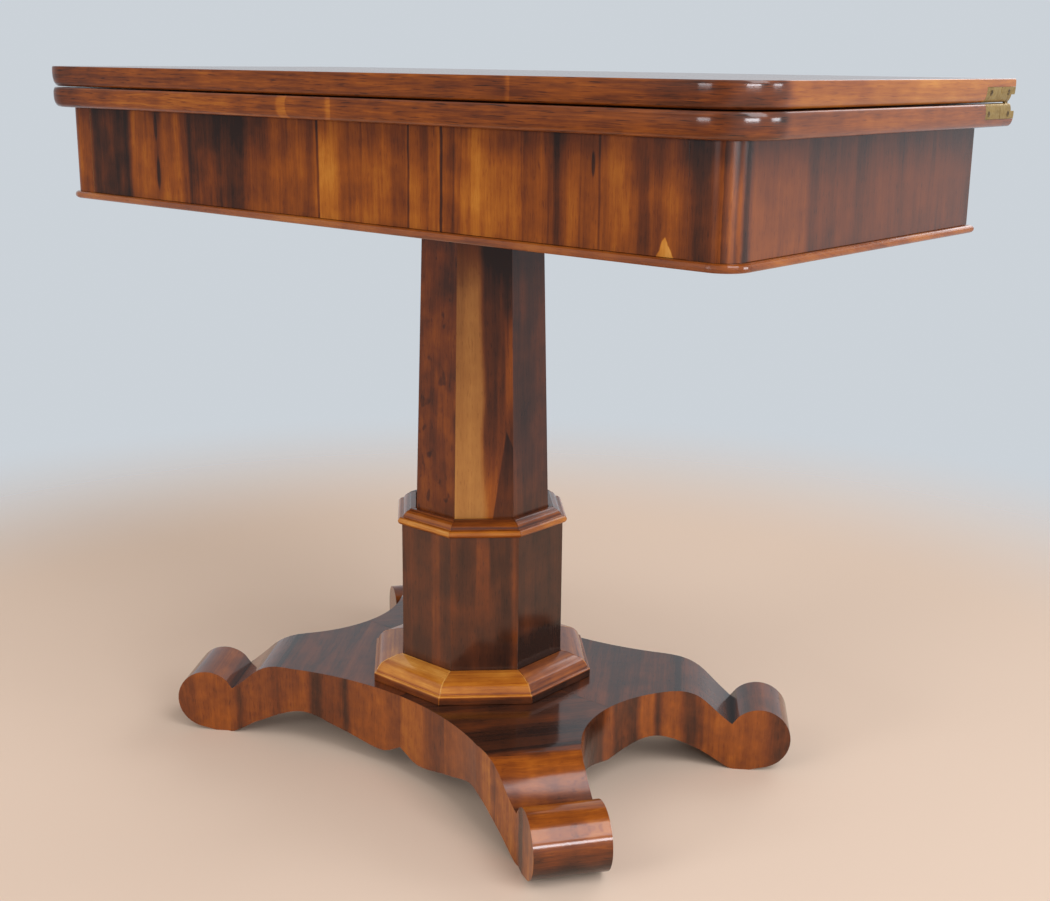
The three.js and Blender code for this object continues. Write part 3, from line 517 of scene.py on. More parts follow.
def deal_grain(shader, across, along, ring_seed, fibre_seed):
    ring = shader.noise(across * 60, along * 3, ring_seed, detail=3)
    fibre = shader.noise(across * 900, along * 20, fibre_seed)
    return ring, fibre


def plain_wood_colour(shader, along, across, seed):
    ring, fibre = deal_grain(shader, across, along, seed, seed + 4)
    return shader.colour_ramp(ring * 0.7 + fibre * 0.3, DEAL_TONES)


def deal_wood(name, lengthwise):
    """Unpolished pine, lengthwise along X or Y."""
    shader = new_shader(name)
    x, y, z = shader.place()
    along, aside = (x, y) if lengthwise == "x" else (y, x)
    across = aside + z * BOARD_SLANT
    ring, fibre = deal_grain(shader, across, along, 9.0, 4.0)
    grime = shader.noise(along * 12, across * 12, 2.0, detail=4)
    return shader.surface(
        Base_Color=shader.colour_ramp(ring * 0.55 + fibre * 0.25 + grime * 0.2, DEAL_TONES),
        Roughness=0.75,
        Normal=shader.bump(0.3, 0.0003, fibre),
    )


def reddish_wood(name, lengthwise):
    """Plain reddish wood of the boards inside, lengthwise along X or Y."""
    shader = new_shader(name)
    x, y, z = shader.place()
    along, aside = (x, y) if lengthwise == "x" else (y, x)
    across = aside + z * BOARD_SLANT
    shade, height = figure(shader, across, along, 140.0, 0.36, 0.45)
    colour = shader.colour_ramp(shade, ROSEWOOD_TONES)
    return polished(shader, colour, height, roughness=0.5, polish=0.25)


LEAF_REAR = 0.226
# Part of the normal along Z where the edge turns into the flat face
LEAF_FLAT = (0.80, 0.93)
# Part of the normal towards the front where the polish starts to thin, and where it is thin
LEAF_FACING = (0.76, 0.92)
LEAF_FRONT_POLISH = 0.32
# Along Y, where the straight end of a leaf starts behind its rounded corner
LEAF_END_START = (-0.195, -0.155)
# Way round the edge, where the darker corner, a painted dark reflection, starts and where it
# stops
LEAF_CORNER_REFLECTION_START = (0.34, 0.43)
LEAF_CORNER_REFLECTION_STOP = (0.512, 0.526)


def leaf_wood(name, seed, patches, end_lift):
    """Leaf: edges with the grain along them, faces with the grain along X.

    patches are lighter places round the edge: where each starts and stops, in metres
    from the middle of the front, and how much lighter it is. end_lift lightens the ends.
    """
    shader = new_shader(name)
    x, y, z = shader.place()
    _, ny, nz = shader.facing()
    way = x + x.sign() * (y + LEAF_REAR)
    flat = nz.size().ramp(*LEAF_FLAT)
    edge = 1.0 - flat
    along = shader.choose(flat, way, x)
    across = shader.choose(flat, z, y)
    tone = shader.drift(along * 3.2, across * 9, seed) * 0.30
    tone = tone + shader.choose(flat, 0.45, 0.36)
    end = y.ramp(*LEAF_END_START) * edge
    tone = tone + end * end_lift
    for start, stop, lift in patches:
        patch = way.ramp(start, start + 0.005) - way.ramp(stop, stop + 0.002)
        tone = tone + patch * edge * lift
    # Painted reflection: the rounded corner of the edge is darkened to stand for the dim room
    # it mirrors
    corner = way.size().ramp(*LEAF_CORNER_REFLECTION_START) - way.size().ramp(*LEAF_CORNER_REFLECTION_STOP)
    tone = tone - corner * edge * 0.13
    dashes = shader.choose(flat, 0.26 - end * 0.14, 0.12)
    streak = shader.drift(across * 420, along * 22, seed + 2.0, detail=3)
    tone = tone + streak * edge * (0.46 - end * 0.26) + edge * 0.02
    shade, height = figure(
        shader,
        across,
        along,
        seed + 1.0,
        tone,
        0.80,
        wave=0.008,
        dashes=dashes,
        dash_rate=LEAF_DASH_RATE,
    )
    colour = shader.colour_ramp(shade, ROSEWOOD_TONES)
    front = (ny * -1.0).ramp(*LEAF_FACING)
    polish = shader.choose(front, FULL_POLISH, LEAF_FRONT_POLISH)
    return polished(shader, colour, height, polish=polish, polish_roughness=LEAF_ROUGHNESS)


# Facets of the octagonal pieces, counted from the right one
RIGHT_FACET = 0
FRONT_RIGHT_FACET = -1
FRONT_FACET = -2


def octagon_facets(shader):
    """Index of the facet that faces a point, the place across that facet, and the height."""
    x, y, z = shader.place()
    nx, ny, _ = shader.facing()
    index = (shader.math("ARCTAN2", ny, nx) / EIGHTH_TURN).rounded()
    angle = index * EIGHTH_TURN
    across = y * shader.math("COSINE", angle) - x * shader.math("SINE", angle)
    return index, across, z


def on_facet(index, facet):
    """1 on that facet and 0 on the others."""
    return 1.0 - (index - facet).size().ramp(0.3, 0.7)


HONEY_TONES = [
    (0.30, (0.15, 0.050, 0.012)),
    (0.55, (0.32, 0.135, 0.034)),
    (0.80, (0.50, 0.240, 0.065)),
]
# Strips of the column's front right facet: where they start or end across it
HONEY_END = (-0.005, 0.004)
AMBER_END = (0.012, 0.018)
ORANGE_START = (0.0185, 0.0235)
# Heights at which they start or end, and at which the honey strip's end moves aside
HONEY_TOP = (0.52, 0.60)
HONEY_BEND = (0.45, 0.60)
AMBER_TOP = (0.37, 0.31)
ORANGE_FOOT = (0.37, 0.42)
ORANGE_TOP = (0.47, 0.51)
# Dark spike at its foot: height of the tip, place across the facet, blur of its sides,
# and the drop below the tip over which it lightens
SPIKE_TOP = 0.377
SPIKE_PLACE = 0.0232
SPIKE_BLUR = (-0.0006, 0.0010)
SPIKE_LIGHTENS = (0.008, 0.070)
# Heights between which that facet darkens, and between which the whole column darkens with
# painted shadow below the frieze
STRIPS_SHADE = (0.30, 0.58)
COLUMN_TOP_PAINTED_SHADOW = (0.50, 0.60)


def column_wood():
    """Column: each facet with its own upright veneer."""
    shader = new_shader("column_veneer")
    index, across, z = octagon_facets(shader)
    front_right = on_facet(index, FRONT_RIGHT_FACET)
    front = on_facet(index, FRONT_FACET)
    # Front right facet: a honey strip on the left, dark streaks on the right,
    # an orange and an amber strip between them, and a dark spike at its foot
    wobble = shader.drift(across * 10, z * 9, 3.0, detail=3) * 0.012
    split = (across + wobble + z.ramp(*HONEY_BEND) * 0.004).ramp(*HONEY_END)
    orange = (across + wobble * 0.6).ramp(*ORANGE_START)
    orange = orange * z.ramp(*ORANGE_FOOT) * (1.0 - z.ramp(*ORANGE_TOP))
    amber = z.ramp(*AMBER_TOP) * split * (1.0 - across.ramp(*AMBER_END))
    streak = shader.drift(across * 150, z * 6, 44.0) * split * 0.42
    tone = 0.63 - z.ramp(*STRIPS_SHADE) * 0.14 - split * 0.35
    tone = tone + orange * 0.26 + amber * 0.24 + streak
    drop = SPIKE_TOP - z
    left = (drop * 0.15 + across - SPIKE_PLACE).ramp(*SPIKE_BLUR)
    right = (drop * 0.42 - across + SPIKE_PLACE).ramp(*SPIKE_BLUR)
    tone = shader.choose(left * right, tone, 0.02 + drop.ramp(*SPIKE_LIGHTENS) * 0.20)
    # Front facet: red-brown, with small knots
    spots = shader.noise(across * 75, z * 48, 12.0).ramp(0.60, 0.70)
    clouds = shader.drift(across * 34, z * 24, 17.0, detail=3)
    rest = shader.choose(front, 0.21, 0.34 - spots * 0.16 + clouds * 0.55)
    tone = shader.choose(front_right, rest, tone)
    # Painted shadow: the whole column darkens towards its top, below the frieze
    tone = tone - z.ramp(*COLUMN_TOP_PAINTED_SHADOW) * (0.14 + front_right * 0.17)
    shade, height = figure(shader, across, z, index * 7.3 + 40.0, tone, 0.60)
    colour = shader.colour_ramp(shade, ROSEWOOD_TONES)
    honey = shader.colour_ramp(shade, HONEY_TONES)
    pale = front_right * (1.0 - split) * (1.0 - z.ramp(*HONEY_TOP)) * 0.75
    polish = POLISH - (front + front_right) * 0.40
    return polished(shader, shader.mix_colour(pale, colour, honey), height, polish=polish)


# Front right facet of the plinth: where each strip ends, and its tone
PLINTH_STRIPS = [
    (-0.040, 0.0),
    (-0.028, 0.24),
    (0.030, 0.18),
    (0.0345, 0.30),
    (0.040, 0.20),
]
# Its orange strip: both sides, and the heights between which it appears
PLINTH_ORANGE_LEFT = (-0.0105, -0.0075)
PLINTH_ORANGE_RIGHT = (0.003, 0.007)
PLINTH_ORANGE_FOOT = (0.160, 0.230)
# Lighter strip of the front facet: its place, and its half width with the blur
LIGHT_STRIP_PLACE = 0.014
LIGHT_STRIP_WIDTH = (0.003, 0.009)
# Heights below which the right facet gets a painted dark reflection, and below which the
# whole foot is darker
RIGHT_REFLECTION_FOOT = (0.150, 0.160)
PLINTH_FOOT = (0.12, 0.17)


def plinth_wood():
    """Plinth: each facet with its own upright veneer, darker than the column's."""
    shader = new_shader("plinth_veneer")
    index, across, z = octagon_facets(shader)
    front = on_facet(index, FRONT_FACET)
    right = on_facet(index, RIGHT_FACET)
    wobble = shader.drift(across * 10, z * 7, 8.0, detail=3) * 0.010
    place = across + wobble
    strips = shader.tones(place, PLINTH_STRIPS)
    orange = place.ramp(*PLINTH_ORANGE_LEFT) * (1.0 - place.ramp(*PLINTH_ORANGE_RIGHT))
    strips = strips + orange * z.ramp(*PLINTH_ORANGE_FOOT) * 0.15
    light_strip = 1.0 - (place - LIGHT_STRIP_PLACE).size().ramp(*LIGHT_STRIP_WIDTH)
    # The right facet is darker all over, and darker still below its foot height, where a dark
    # reflection is painted
    right_tone_and_dark_reflection = right * (0.07 + (1.0 - z.ramp(*RIGHT_REFLECTION_FOOT)) * 0.11)
    rest = 0.20 + front * 0.03 - right_tone_and_dark_reflection + light_strip * front * 0.12
    tone = shader.choose(on_facet(index, FRONT_RIGHT_FACET), rest, strips)
    clouds = shader.drift(across * 30, z * 20, index * 4.0 + 3.0, detail=3)
    foot = (1.0 - z.ramp(*PLINTH_FOOT)) * 0.06
    tone = tone - foot + clouds * 0.30
    shade, height = figure(shader, across, z, index * 5.1 + 80.0, tone, 0.52)
    return polished(shader, shader.colour_ramp(shade, ROSEWOOD_TONES), height)


LEVEL_BLUR = 0.0012
LENGTH_BLUR = 0.1
# Half width of the glue line between two mitred lengths
MITRE_LINE = (0.0004, 0.0011)


def moulding_wood(name, seed, levels, lengths, mitre_lift=0.0):
    """Octagonal moulding in mitred lengths, with the grain along each.

    levels are the heights in metres at which its tone changes, and the tones.
    lengths are the tones that the lengths add, from the left one round by the front.
    mitre_lift is how much lighter the glue line of a mitre is.
    """
    shader = new_shader(name)
    x, y, z = shader.place()
    index = (shader.math("ARCTAN2", y, x) / EIGHTH_TURN).rounded()
    angle = index * EIGHTH_TURN
    cosine = shader.math("COSINE", angle)
    sine = shader.math("SINE", angle)
    along = y * cosine - x * sine
    outward = x * cosine + y * sine
    tone = shader.tones(z, levels, LEVEL_BLUR) + shader.tones(index, lengths, LENGTH_BLUR)
    tone = tone - shader.drift(along * 22, seed, index * 2.9) * 0.22
    from_mitre = outward * math.tan(EIGHTH_TURN / 2) - along.size()
    worn = shader.noise(z * 90, index * 3.1, seed).ramp(0.38, 0.52)
    tone = tone + (1.0 - from_mitre.ramp(*MITRE_LINE)) * worn * mitre_lift
    across = (z - outward) * 1.4
    shade, height = figure(shader, across, along, index * 9.1 + seed, tone, wave=0.006)
    return polished(shader, shader.colour_ramp(shade, ROSEWOOD_TONES), height)


BEAD_SIDE = 0.209


def bead_wood():
    """Bead along the foot of the frieze, with the grain along it."""
    shader = new_shader("bead_rosewood")
    x, y, z = shader.place()
    way = x + x.sign() * (y + BEAD_SIDE)
    tone = shader.noise(way * 7, z * 20, 6.0, detail=3) * 0.6 + 0.26
    shade, height = figure(shader, z + y * 0.3, way, 61.0, tone, 0.7)
    return polished(shader, shader.colour_ramp(shade, ROSEWOOD_TONES), height)


# Sides of the platform that face the front and the back, along X,
# and those that face the ends, along Y: where each strip ends, and its tone
WIDE_SIDE_STRIPS = [
    (-0.340, 0.0),
    (-0.262, 0.42),
    (-0.250, 0.36),
    (-0.211, 0.44),
    (-0.205, 0.22),
    (-0.170, 0.40),
    (-0.155, 0.36),
    (-0.119, 0.42),
    (-0.105, 0.20),
    (-0.078, 0.36),
    (-0.074, 0.22),
    (-0.019, 0.48),
    (0.003, 0.38),
    (0.040, 0.54),
    (0.075, 0.36),
    (0.110, 0.50),
    (0.150, 0.44),
    (0.190, 0.54),
    (0.224, 0.60),
    (0.236, 0.24),
    (0.340, 0.56),
]
NARROW_SIDE_STRIPS = [
    (-0.240, 0.0),
    (-0.150, 0.46),
    (-0.100, 0.30),
    (-0.060, 0.44),
    (-0.010, 0.14),
    (0.008, 0.36),
    (0.030, 0.24),
    (0.045, 0.18),
    (0.063, 0.50),
    (0.067, 0.14),
    (0.088, 0.48),
    (0.101, 0.16),
    (0.144, 0.48),
    (0.170, 0.26),
    (0.240, 0.37),
]
HIDDEN_SIDE_TONE = 0.38
ROUGH_TONES = [(0.3, (0.02, 0.013, 0.008)), (0.7, (0.07, 0.045, 0.028))]
LEG_ANGLE = math.radians(35)
LEG_COSINE = math.cos(LEG_ANGLE)
LEG_SINE = math.sin(LEG_ANGLE)
# Distances out along the leg, and half widths of the dark line above the slope and of the
# painted shade in the crease
SLOPE_LINE_REACH = 0.2235
SLOPE_LINE_WIDTH = (0.0015, 0.0045)
SLOPE_START = (0.224, 0.234)
CREASE_REACH = 0.2835
CREASE_SHADE_WIDTH = (0.0015, 0.007)
ROLLER_START = (0.280, 0.286)
# Heights between which the scroll lightens upward: painted shade, darkest towards the floor
ROLLER_PAINTED_SHADE = (0.010, 0.058)
# Parts of the normal where the sides and the underside start and where they are full
SIDE_FACING = (0.30, 0.42)
UNDER_FACING = (-0.80, -0.95)


def leg_wood():
    """Platform quarters: grain across the leg on top, upright at the sides."""
    shader = new_shader("leg_veneer")
    x, y, z = shader.place()
    nx, ny, nz = shader.facing()
    sx = x.sign()
    sy = y.sign()
    reach = x.size() * LEG_COSINE + y.size() * LEG_SINE
    aside = y.size() * LEG_COSINE - x.size() * LEG_SINE
    out = ny * sy * LEG_COSINE - nx * sx * LEG_SINE
    side = out.size().ramp(*SIDE_FACING)
    quarter = sx * 2.0 + sy
    right = sx.above(0.0)
    back = sy.above(0.0)
    near = right * (1.0 - back)
    slope = reach.ramp(*SLOPE_START)
    # Top: streaks across the leg, with a dark line above the slope and painted shade in the
    # crease
    top_tone = (
        0.22
        - right * 0.06
        - (1.0 - (reach - SLOPE_LINE_REACH).size().ramp(*SLOPE_LINE_WIDTH)) * 0.16
        - (1.0 - (reach - CREASE_REACH).size().ramp(*CREASE_SHADE_WIDTH)) * 0.24
        + slope * (0.10 + near * 0.10)
        + shader.drift(reach * 26, quarter, 2.5) * 0.40
    )
    # Painted shade: the scroll is dark low down and lighter towards its top
    roller_tone_and_painted_shade = z.ramp(*ROLLER_PAINTED_SHADE) * (0.50 + near * 0.12) - 0.44 + near * 0.12
    top_tone = top_tone + reach.ramp(*ROLLER_START) * roller_tone_and_painted_shade
    contrast = 0.80 + near * slope * 0.60 - side * 0.16
    # Sides: upright strips
    wobble = shader.drift(x * 12, y * 12, z * 12) * 0.008
    wide = shader.tones(x + wobble, WIDE_SIDE_STRIPS)
    narrow = shader.tones(y + wobble, NARROW_SIDE_STRIPS)
    wide = shader.choose(back, wide, HIDDEN_SIDE_TONE)
    narrow = shader.choose(right, HIDDEN_SIDE_TONE, narrow)
    speckle = shader.drift(x * 110, y * 110, z * 90)
    side_tone = shader.choose(out.above(0.0), narrow, wide) + speckle * 0.20
    tone = shader.choose(side, top_tone, side_tone)
    across = shader.choose(side, reach + z * 0.9, reach)
    across = shader.choose(side, across, reach + aside * 0.3)
    along = shader.choose(side, aside, z)
    seed = quarter * 3.3 + side * 5.0 + 100.0
    shade, height = figure(shader, across, along, seed, tone, contrast)
    veneer = shader.colour_ramp(shade, ROSEWOOD_TONES)
    # Underside: rough, unpolished and dark
    rough = shader.noise(reach * 300, aside * 30, z * 50, detail=3)
    under = nz.ramp(*UNDER_FACING)
    colour = shader.mix_colour(under, veneer, shader.colour_ramp(rough, ROUGH_TONES))
    return polished(shader, colour, height)


# Metal and cloth

IRON_TONES = [
    (0.35, (0.035, 0.028, 0.024)),
    (0.55, (0.085, 0.075, 0.068)),
    (0.70, (0.14, 0.07, 0.035)),
]
BAIZE_TONES = [
    (0.36, (0.012, 0.060, 0.022)),
    (0.50, (0.024, 0.098, 0.036)),
    (0.64, (0.046, 0.142, 0.056)),
]


def aged_brass(name, tones):
    shader = new_shader(name)
    x, y, z = shader.place()
    blotch = shader.noise(x * 300, y * 300, z * 300, detail=4)
    stain = shader.noise(x * 90, y * 90, z * 90, detail=3)
    return shader.surface(
        Base_Color=shader.colour_ramp(blotch * 0.5 + stain * 0.5, tones),
        Metallic=0.75,
        Roughness=shader.map_range(blotch, 0.3, 0.7, 0.55, 0.32),
        Normal=shader.bump(0.25, 0.0002, blotch),
    )


def forged_iron():
    shader = new_shader("forged_iron")
    x, y, z = shader.place()
    scale = shader.noise(x * 250, y * 250, z * 250, detail=4)
    return shader.surface(
        Base_Color=shader.colour_ramp(scale, IRON_TONES),
        Metallic=0.6,
        Roughness=shader.map_range(scale, 0.3, 0.7, 0.45, 0.7),
        Normal=shader.bump(0.4, 0.0003, scale),
    )


def baize_cloth():
    """Felted green wool, a little faded in patches."""
    shader = new_shader("baize_cloth")
    x, y, z = shader.place()
    nap = shader.noise(x * 900, y * 900, z * 900, detail=3)
    fibre = shader.noise(x * 2600, y * 700, z * 900)
    fade = shader.noise(x * 5, y * 5, 3.0, detail=3)
    return shader.surface(
        Base_Color=shader.colour_ramp(nap * 0.35 + fibre * 0.25 + fade * 0.4, BAIZE_TONES),
        Roughness=0.95,
        Specular_IOR_Level=0.15,
        Sheen_Weight=0.22,
        Sheen_Roughness=0.45,
        Sheen_Tint=(0.55, 0.85, 0.6, 1.0),
        Normal=shader.bump(0.5, 0.0004, nap * 0.6 + fibre * 0.4),
    )


# Finish of the solids

JOIN_DISTANCE = 0.000002
FLAT_ANGLE = math.radians(0.4)
EDGE_ANGLE = math.radians(32)
EDGE_SEGMENTS = 2
NORMAL_WEIGHT = 90


def join_group():
    """Joins the triangles of a solid, so that its edges can be rounded."""
    group = bpy.data.node_groups.new("join_faces", "GeometryNodeTree")
    for direction in ("INPUT", "OUTPUT"):
        group.interface.new_socket(
            "Geometry", in_out=direction, socket_type="NodeSocketGeometry"
        )
    start = group.nodes.new("NodeGroupInput")
    end = group.nodes.new("NodeGroupOutput")
    join = group.nodes.new("GeometryNodeMergeByDistance")
    join.inputs["Distance"].default_value = JOIN_DISTANCE
    group.links.new(start.outputs[0], join.inputs[0])
    geometry = join.outputs[0]
    for name in ("custom_normal", "sharp_edge", "sharp_face"):
        remove = group.nodes.new("GeometryNodeRemoveAttribute")
        remove.inputs["Name"].default_value = name
        group.links.new(geometry, remove.inputs[0])
        geometry = remove.outputs[0]
    group.links.new(geometry, end.inputs[0])
    return group


JOIN_FACES = join_group()


def round_edges(solid, width):
    """Rounds the sharp edges of a solid for the light, and leaves its mesh as it is."""
    join = solid.modifiers.new("join", "NODES")
    join.node_group = JOIN_FACES
    flat = solid.modifiers.new("flat", "DECIMATE")
    flat.decimate_type = "DISSOLVE"
    flat.angle_limit = FLAT_ANGLE
    bevel = solid.modifiers.new("edges", "BEVEL")
    bevel.width = width
    bevel.segments = EDGE_SEGMENTS
    bevel.limit_method = "ANGLE"
    bevel.angle_limit = EDGE_ANGLE
    bevel.use_clamp_overlap = True
    bevel.harden_normals = False
    weighted = solid.modifiers.new("normals", "WEIGHTED_NORMAL")
    weighted.weight = NORMAL_WEIGHT
    weighted.keep_sharp = False
    for polygon in solid.data.polygons:
        polygon.use_smooth = True


def finish(names, material, edge):
    """Gives solids their material, and rounds their edges by that width in metres."""
    for name in names:
        node = nodes[name]
        node.data.materials.clear()
        node.data.materials.append(material)
        if edge:
            round_edges(node, edge)


def both(prefix):
    return [f"{prefix}_{side}" for side in SIDES]


def eight(prefix):
    return [f"{prefix}_{number}" for number in range(1, 9)]


# Lighter patches of the leaves' edges: start, stop and how much lighter
UPPER_PATCHES = [(0.230, 0.236, 0.15)]
LOWER_PATCHES = [(-0.060, -0.045, 0.16), (0.010, 0.018, 0.16)]
# Mouldings: the height or the facet where each tone ends, and the tone
BASE_LEVELS = [
    (0.0900, 0.0),
    (0.0998, 0.05),
    # Painted highlight: the thin light band along the top edge of the fillet
    (0.1012, 0.54),
    (0.1030, 0.22),
    (0.1180, 0.46),
]
BASE_LENGTHS = [
    (-4.5, 0),
    (-3.5, 0.14),
    (-2.5, 0.20),
    (-1.5, 0.34),
    (-0.5, 0.22),
    (0.5, -0.06),
    # Painted dark reflection: the back right length is made darker
    (1.5, -0.32),
    (4.5, 0.1),
]
COLLAR_LEVELS = [
    (0.2660, 0.0),
    (0.2690, 0.40),
    # The bead below this height is lighter, partly its own tone and partly a painted
    # highlight along it
    (0.2748, 0.63),
    (0.2768, 0.24),
    (0.2806, 0.40),
    (0.2840, 0.26),
]
COLLAR_LENGTHS = [
    (-4.5, 0),
    (-3.5, 0.05),
    (-2.5, 0.1),
    (-1.5, 0.12),
    (-0.5, 0.10),
    (0.5, 0.05),
    (1.5, 0.0),
    (4.5, 0.1),
]
# Widths of the rounded edges. Beads and hinge pins are round as they are
NO_EDGE = 0.0
HINGE_EDGE = 0.0002
LEAF_EDGE = 0.0003
SMALL_EDGE = 0.0004
BOARD_EDGE = 0.0005
COLUMN_EDGE = 0.0006
LEG_EDGE = 0.0008

UPPER_WOOD = leaf_wood("upper_leaf_veneer", 11.0, UPPER_PATCHES, end_lift=0.20)
LOWER_WOOD = leaf_wood("lower_leaf_veneer", 17.0, LOWER_PATCHES, end_lift=-0.03)
BASE_WOOD = moulding_wood(
    "base_moulding_rosewood", 50.0, BASE_LEVELS, BASE_LENGTHS, mitre_lift=0.30
)
COLLAR_WOOD = moulding_wood("collar_moulding_rosewood", 55.0, COLLAR_LEVELS, COLLAR_LENGTHS)
FRIEZE = ["frieze_front", "frieze_back"] + both("frieze_end") + both("corner_block")
BEADS = ["bead_front", "bead_back"] + both("bead_corner") + both("bead_end")

finish(FRIEZE, frieze_wood(), SMALL_EDGE)
finish(["upper_leaf"], UPPER_WOOD, LEAF_EDGE)
finish(["lower_leaf"], LOWER_WOOD, LEAF_EDGE)
finish(["column"], column_wood(), COLUMN_EDGE)
finish(["plinth"], plinth_wood(), COLUMN_EDGE)
finish(eight("base_moulding"), BASE_WOOD, COLUMN_EDGE)
finish(eight("collar_moulding"), COLLAR_WOOD, SMALL_EDGE)
finish(BEADS, bead_wood(), NO_EDGE)
finish(["well_bottom"], deal_wood("deal_along", "x"), BOARD_EDGE)
finish(["column_bearer"], deal_wood("deal_across", "y"), BOARD_EDGE)
finish(["pivot_board"], reddish_wood("pivot_board_wood", "x"), BOARD_EDGE)
finish(["well_divider"], reddish_wood("well_divider_wood", "y"), BOARD_EDGE)

HINGE_TONES = [
    (0.28, (0.22, 0.130, 0.038)),
    (0.48, (0.36, 0.225, 0.070)),
    (0.68, (0.46, 0.310, 0.110)),
]
SCREW_TONES = [
    (0.30, (0.05, 0.028, 0.012)),
    (0.50, (0.13, 0.075, 0.028)),
    (0.68, (0.26, 0.165, 0.060)),
]
BRASS = aged_brass("hinge_brass", HINGE_TONES)
SWIVEL = ["swivel_bolt", "swivel_washer", "swivel_nut", "stop_peg"]
finish(both("upper_hinge_plate") + both("lower_hinge_plate"), BRASS, HINGE_EDGE)
finish(both("upper_hinge_pin") + both("lower_hinge_pin"), BRASS, NO_EDGE)
finish(both("hinge_link"), BRASS, HINGE_EDGE)
finish(SWIVEL, forged_iron(), SMALL_EDGE)


# Pieces that replace solids, and new ones


def new_piece(name, mesh, material, body):
    piece = bpy.data.objects.new(name, mesh)
    scene.collection.objects.link(piece)
    piece.data.materials.append(material)
    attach(piece, body)
    return piece


# Legs. In the photo the slope in front of each scroll runs straight down to a deeper crease

# Distances out along the leg between which the mesh is drawn down
SLOPE_END = 0.2667
SCROLL_START = 0.2885
# Depth over the square of the distance from the slope's end
CREASE_BEND = 12.5
# Share of the depth by which the mesh also goes back
CREASE_PULL = 0.64
# Height above which the mesh is the top of the leg
LEG_TOP = 0.050


def creased_mesh(name, node):
    """The solid's mesh with the foot of its slope drawn down and back into the crease."""
    mesh = nodes[node].data.copy()
    mesh.name = name
    mesh.materials.clear()
    for vertex in mesh.vertices:
        x, y, z = vertex.co
        reach = abs(x) * LEG_COSINE + abs(y) * LEG_SINE
        if z > LEG_TOP and SLOPE_END < reach < SCROLL_START:
            depth = CREASE_BEND * (reach - SLOPE_END) ** 2
            back = CREASE_PULL * depth
            vertex.co.x = x - math.copysign(back * LEG_COSINE, x)
            vertex.co.y = y - math.copysign(back * LEG_SINE, y)
            vertex.co.z = z - depth
    mesh.update()
    return mesh


LEG_VENEER = leg_wood()


def add_leg(node):
    name = f"{node}_shaped"
    piece = new_piece(name, creased_mesh(name, node), LEG_VENEER, "frame")
    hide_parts(node)
    round_edges(piece, LEG_EDGE)


for leg_name in both("leg_front") + both("leg_back"):
    add_leg(leg_name)


# Hinge screws

SCREW_RADIUS = 0.0027
SCREW_SLOT = 0.0006
SCREW_SLOT_DEPTH = 0.0006
SCREW_RISE = 0.00015
SCREW_STEPS = 32
SCREW_TOP = SCREW_RISE * 1.6
# Rings of the head from the middle out: share of the radius, and height
SCREW_RINGS = [
    (0.45, SCREW_RISE * 1.5),
    (0.85, SCREW_RISE),
    (1.0, SCREW_RISE * 0.2),
    (1.0, -0.0006),
]
# Cuts on each side of the slot, as shares of its width, with its wall between them.
# What is nearer to the middle than the floor's share sinks
SLOT_CUTS = (0.5, 0.55)
SLOT_FLOOR = 0.52


def screw_mesh(name, turn):
    """Countersunk head, a little domed, with a slot."""
    mesh = bpy.data.meshes.new(name)
    shape = bmesh.new()
    rows = []
    for share, height in SCREW_RINGS:
        radius = SCREW_RADIUS * share
        angles = [2 * math.pi * step / SCREW_STEPS for step in range(SCREW_STEPS)]
        places = [(radius * math.cos(a), radius * math.sin(a), height) for a in angles]
        rows.append([shape.verts.new(place) for place in places])
    middle = shape.verts.new((0, 0, SCREW_TOP))
    for step in range(SCREW_STEPS):
        shape.faces.new((middle, rows[0][step], rows[0][(step + 1) % SCREW_STEPS]))
    for inner, outer in zip(rows, rows[1:]):
        for step in range(SCREW_STEPS):
            after = (step + 1) % SCREW_STEPS
            shape.faces.new((inner[step], outer[step], outer[after], inner[after]))
    shape.faces.new(list(reversed(rows[-1])))
    # Slot: the top is cut along both sides of it, and sinks between the cuts
    shape.verts.ensure_lookup_table()
    for side in (-1, 1):
        for cut in SLOT_CUTS:
            bmesh.ops.bisect_plane(
                shape,
                geom=list(shape.verts) + list(shape.edges) + list(shape.faces),
                plane_co=(0, side * SCREW_SLOT * cut, 0),
                plane_no=(0, 1, 0),
            )
    for vertex in shape.verts:
        if abs(vertex.co.y) < SCREW_SLOT * SLOT_FLOOR and vertex.co.z > 0:
            vertex.co.z -= SCREW_SLOT_DEPTH
    spin = Matrix.Rotation(turn, 3, "Z")
    bmesh.ops.rotate(shape, cent=(0, 0, 0), matrix=spin, verts=shape.verts)
    bmesh.ops.recalc_face_normals(shape, faces=shape.faces)
    shape.to_mesh(mesh)
    shape.free()
    return mesh


def surface_of(node):
    mesh = nodes[node].data
    places = [vertex.co for vertex in mesh.vertices]
    return BVHTree.FromPolygons(places, [tuple(face.vertices) for face in mesh.polygons])


# Screws of a plate: place along Y, height above the playing face, turn of the slot
PLATE_SCREWS = {
    "lower": [(0.1715, -0.0090, 0.5), (0.2130, -0.0095, 1.9)],
    "upper": [(0.1745, 0.0085, 1.2), (0.2120, 0.0090, 0.2)],
}
FACE_HEIGHT = {"lower": 0.7176, "upper": 0.7188}
# Along X, outside both ends of the leaves
OUTSIDE = 0.6
SCREW_BRASS = aged_brass("screw_brass", SCREW_TONES)


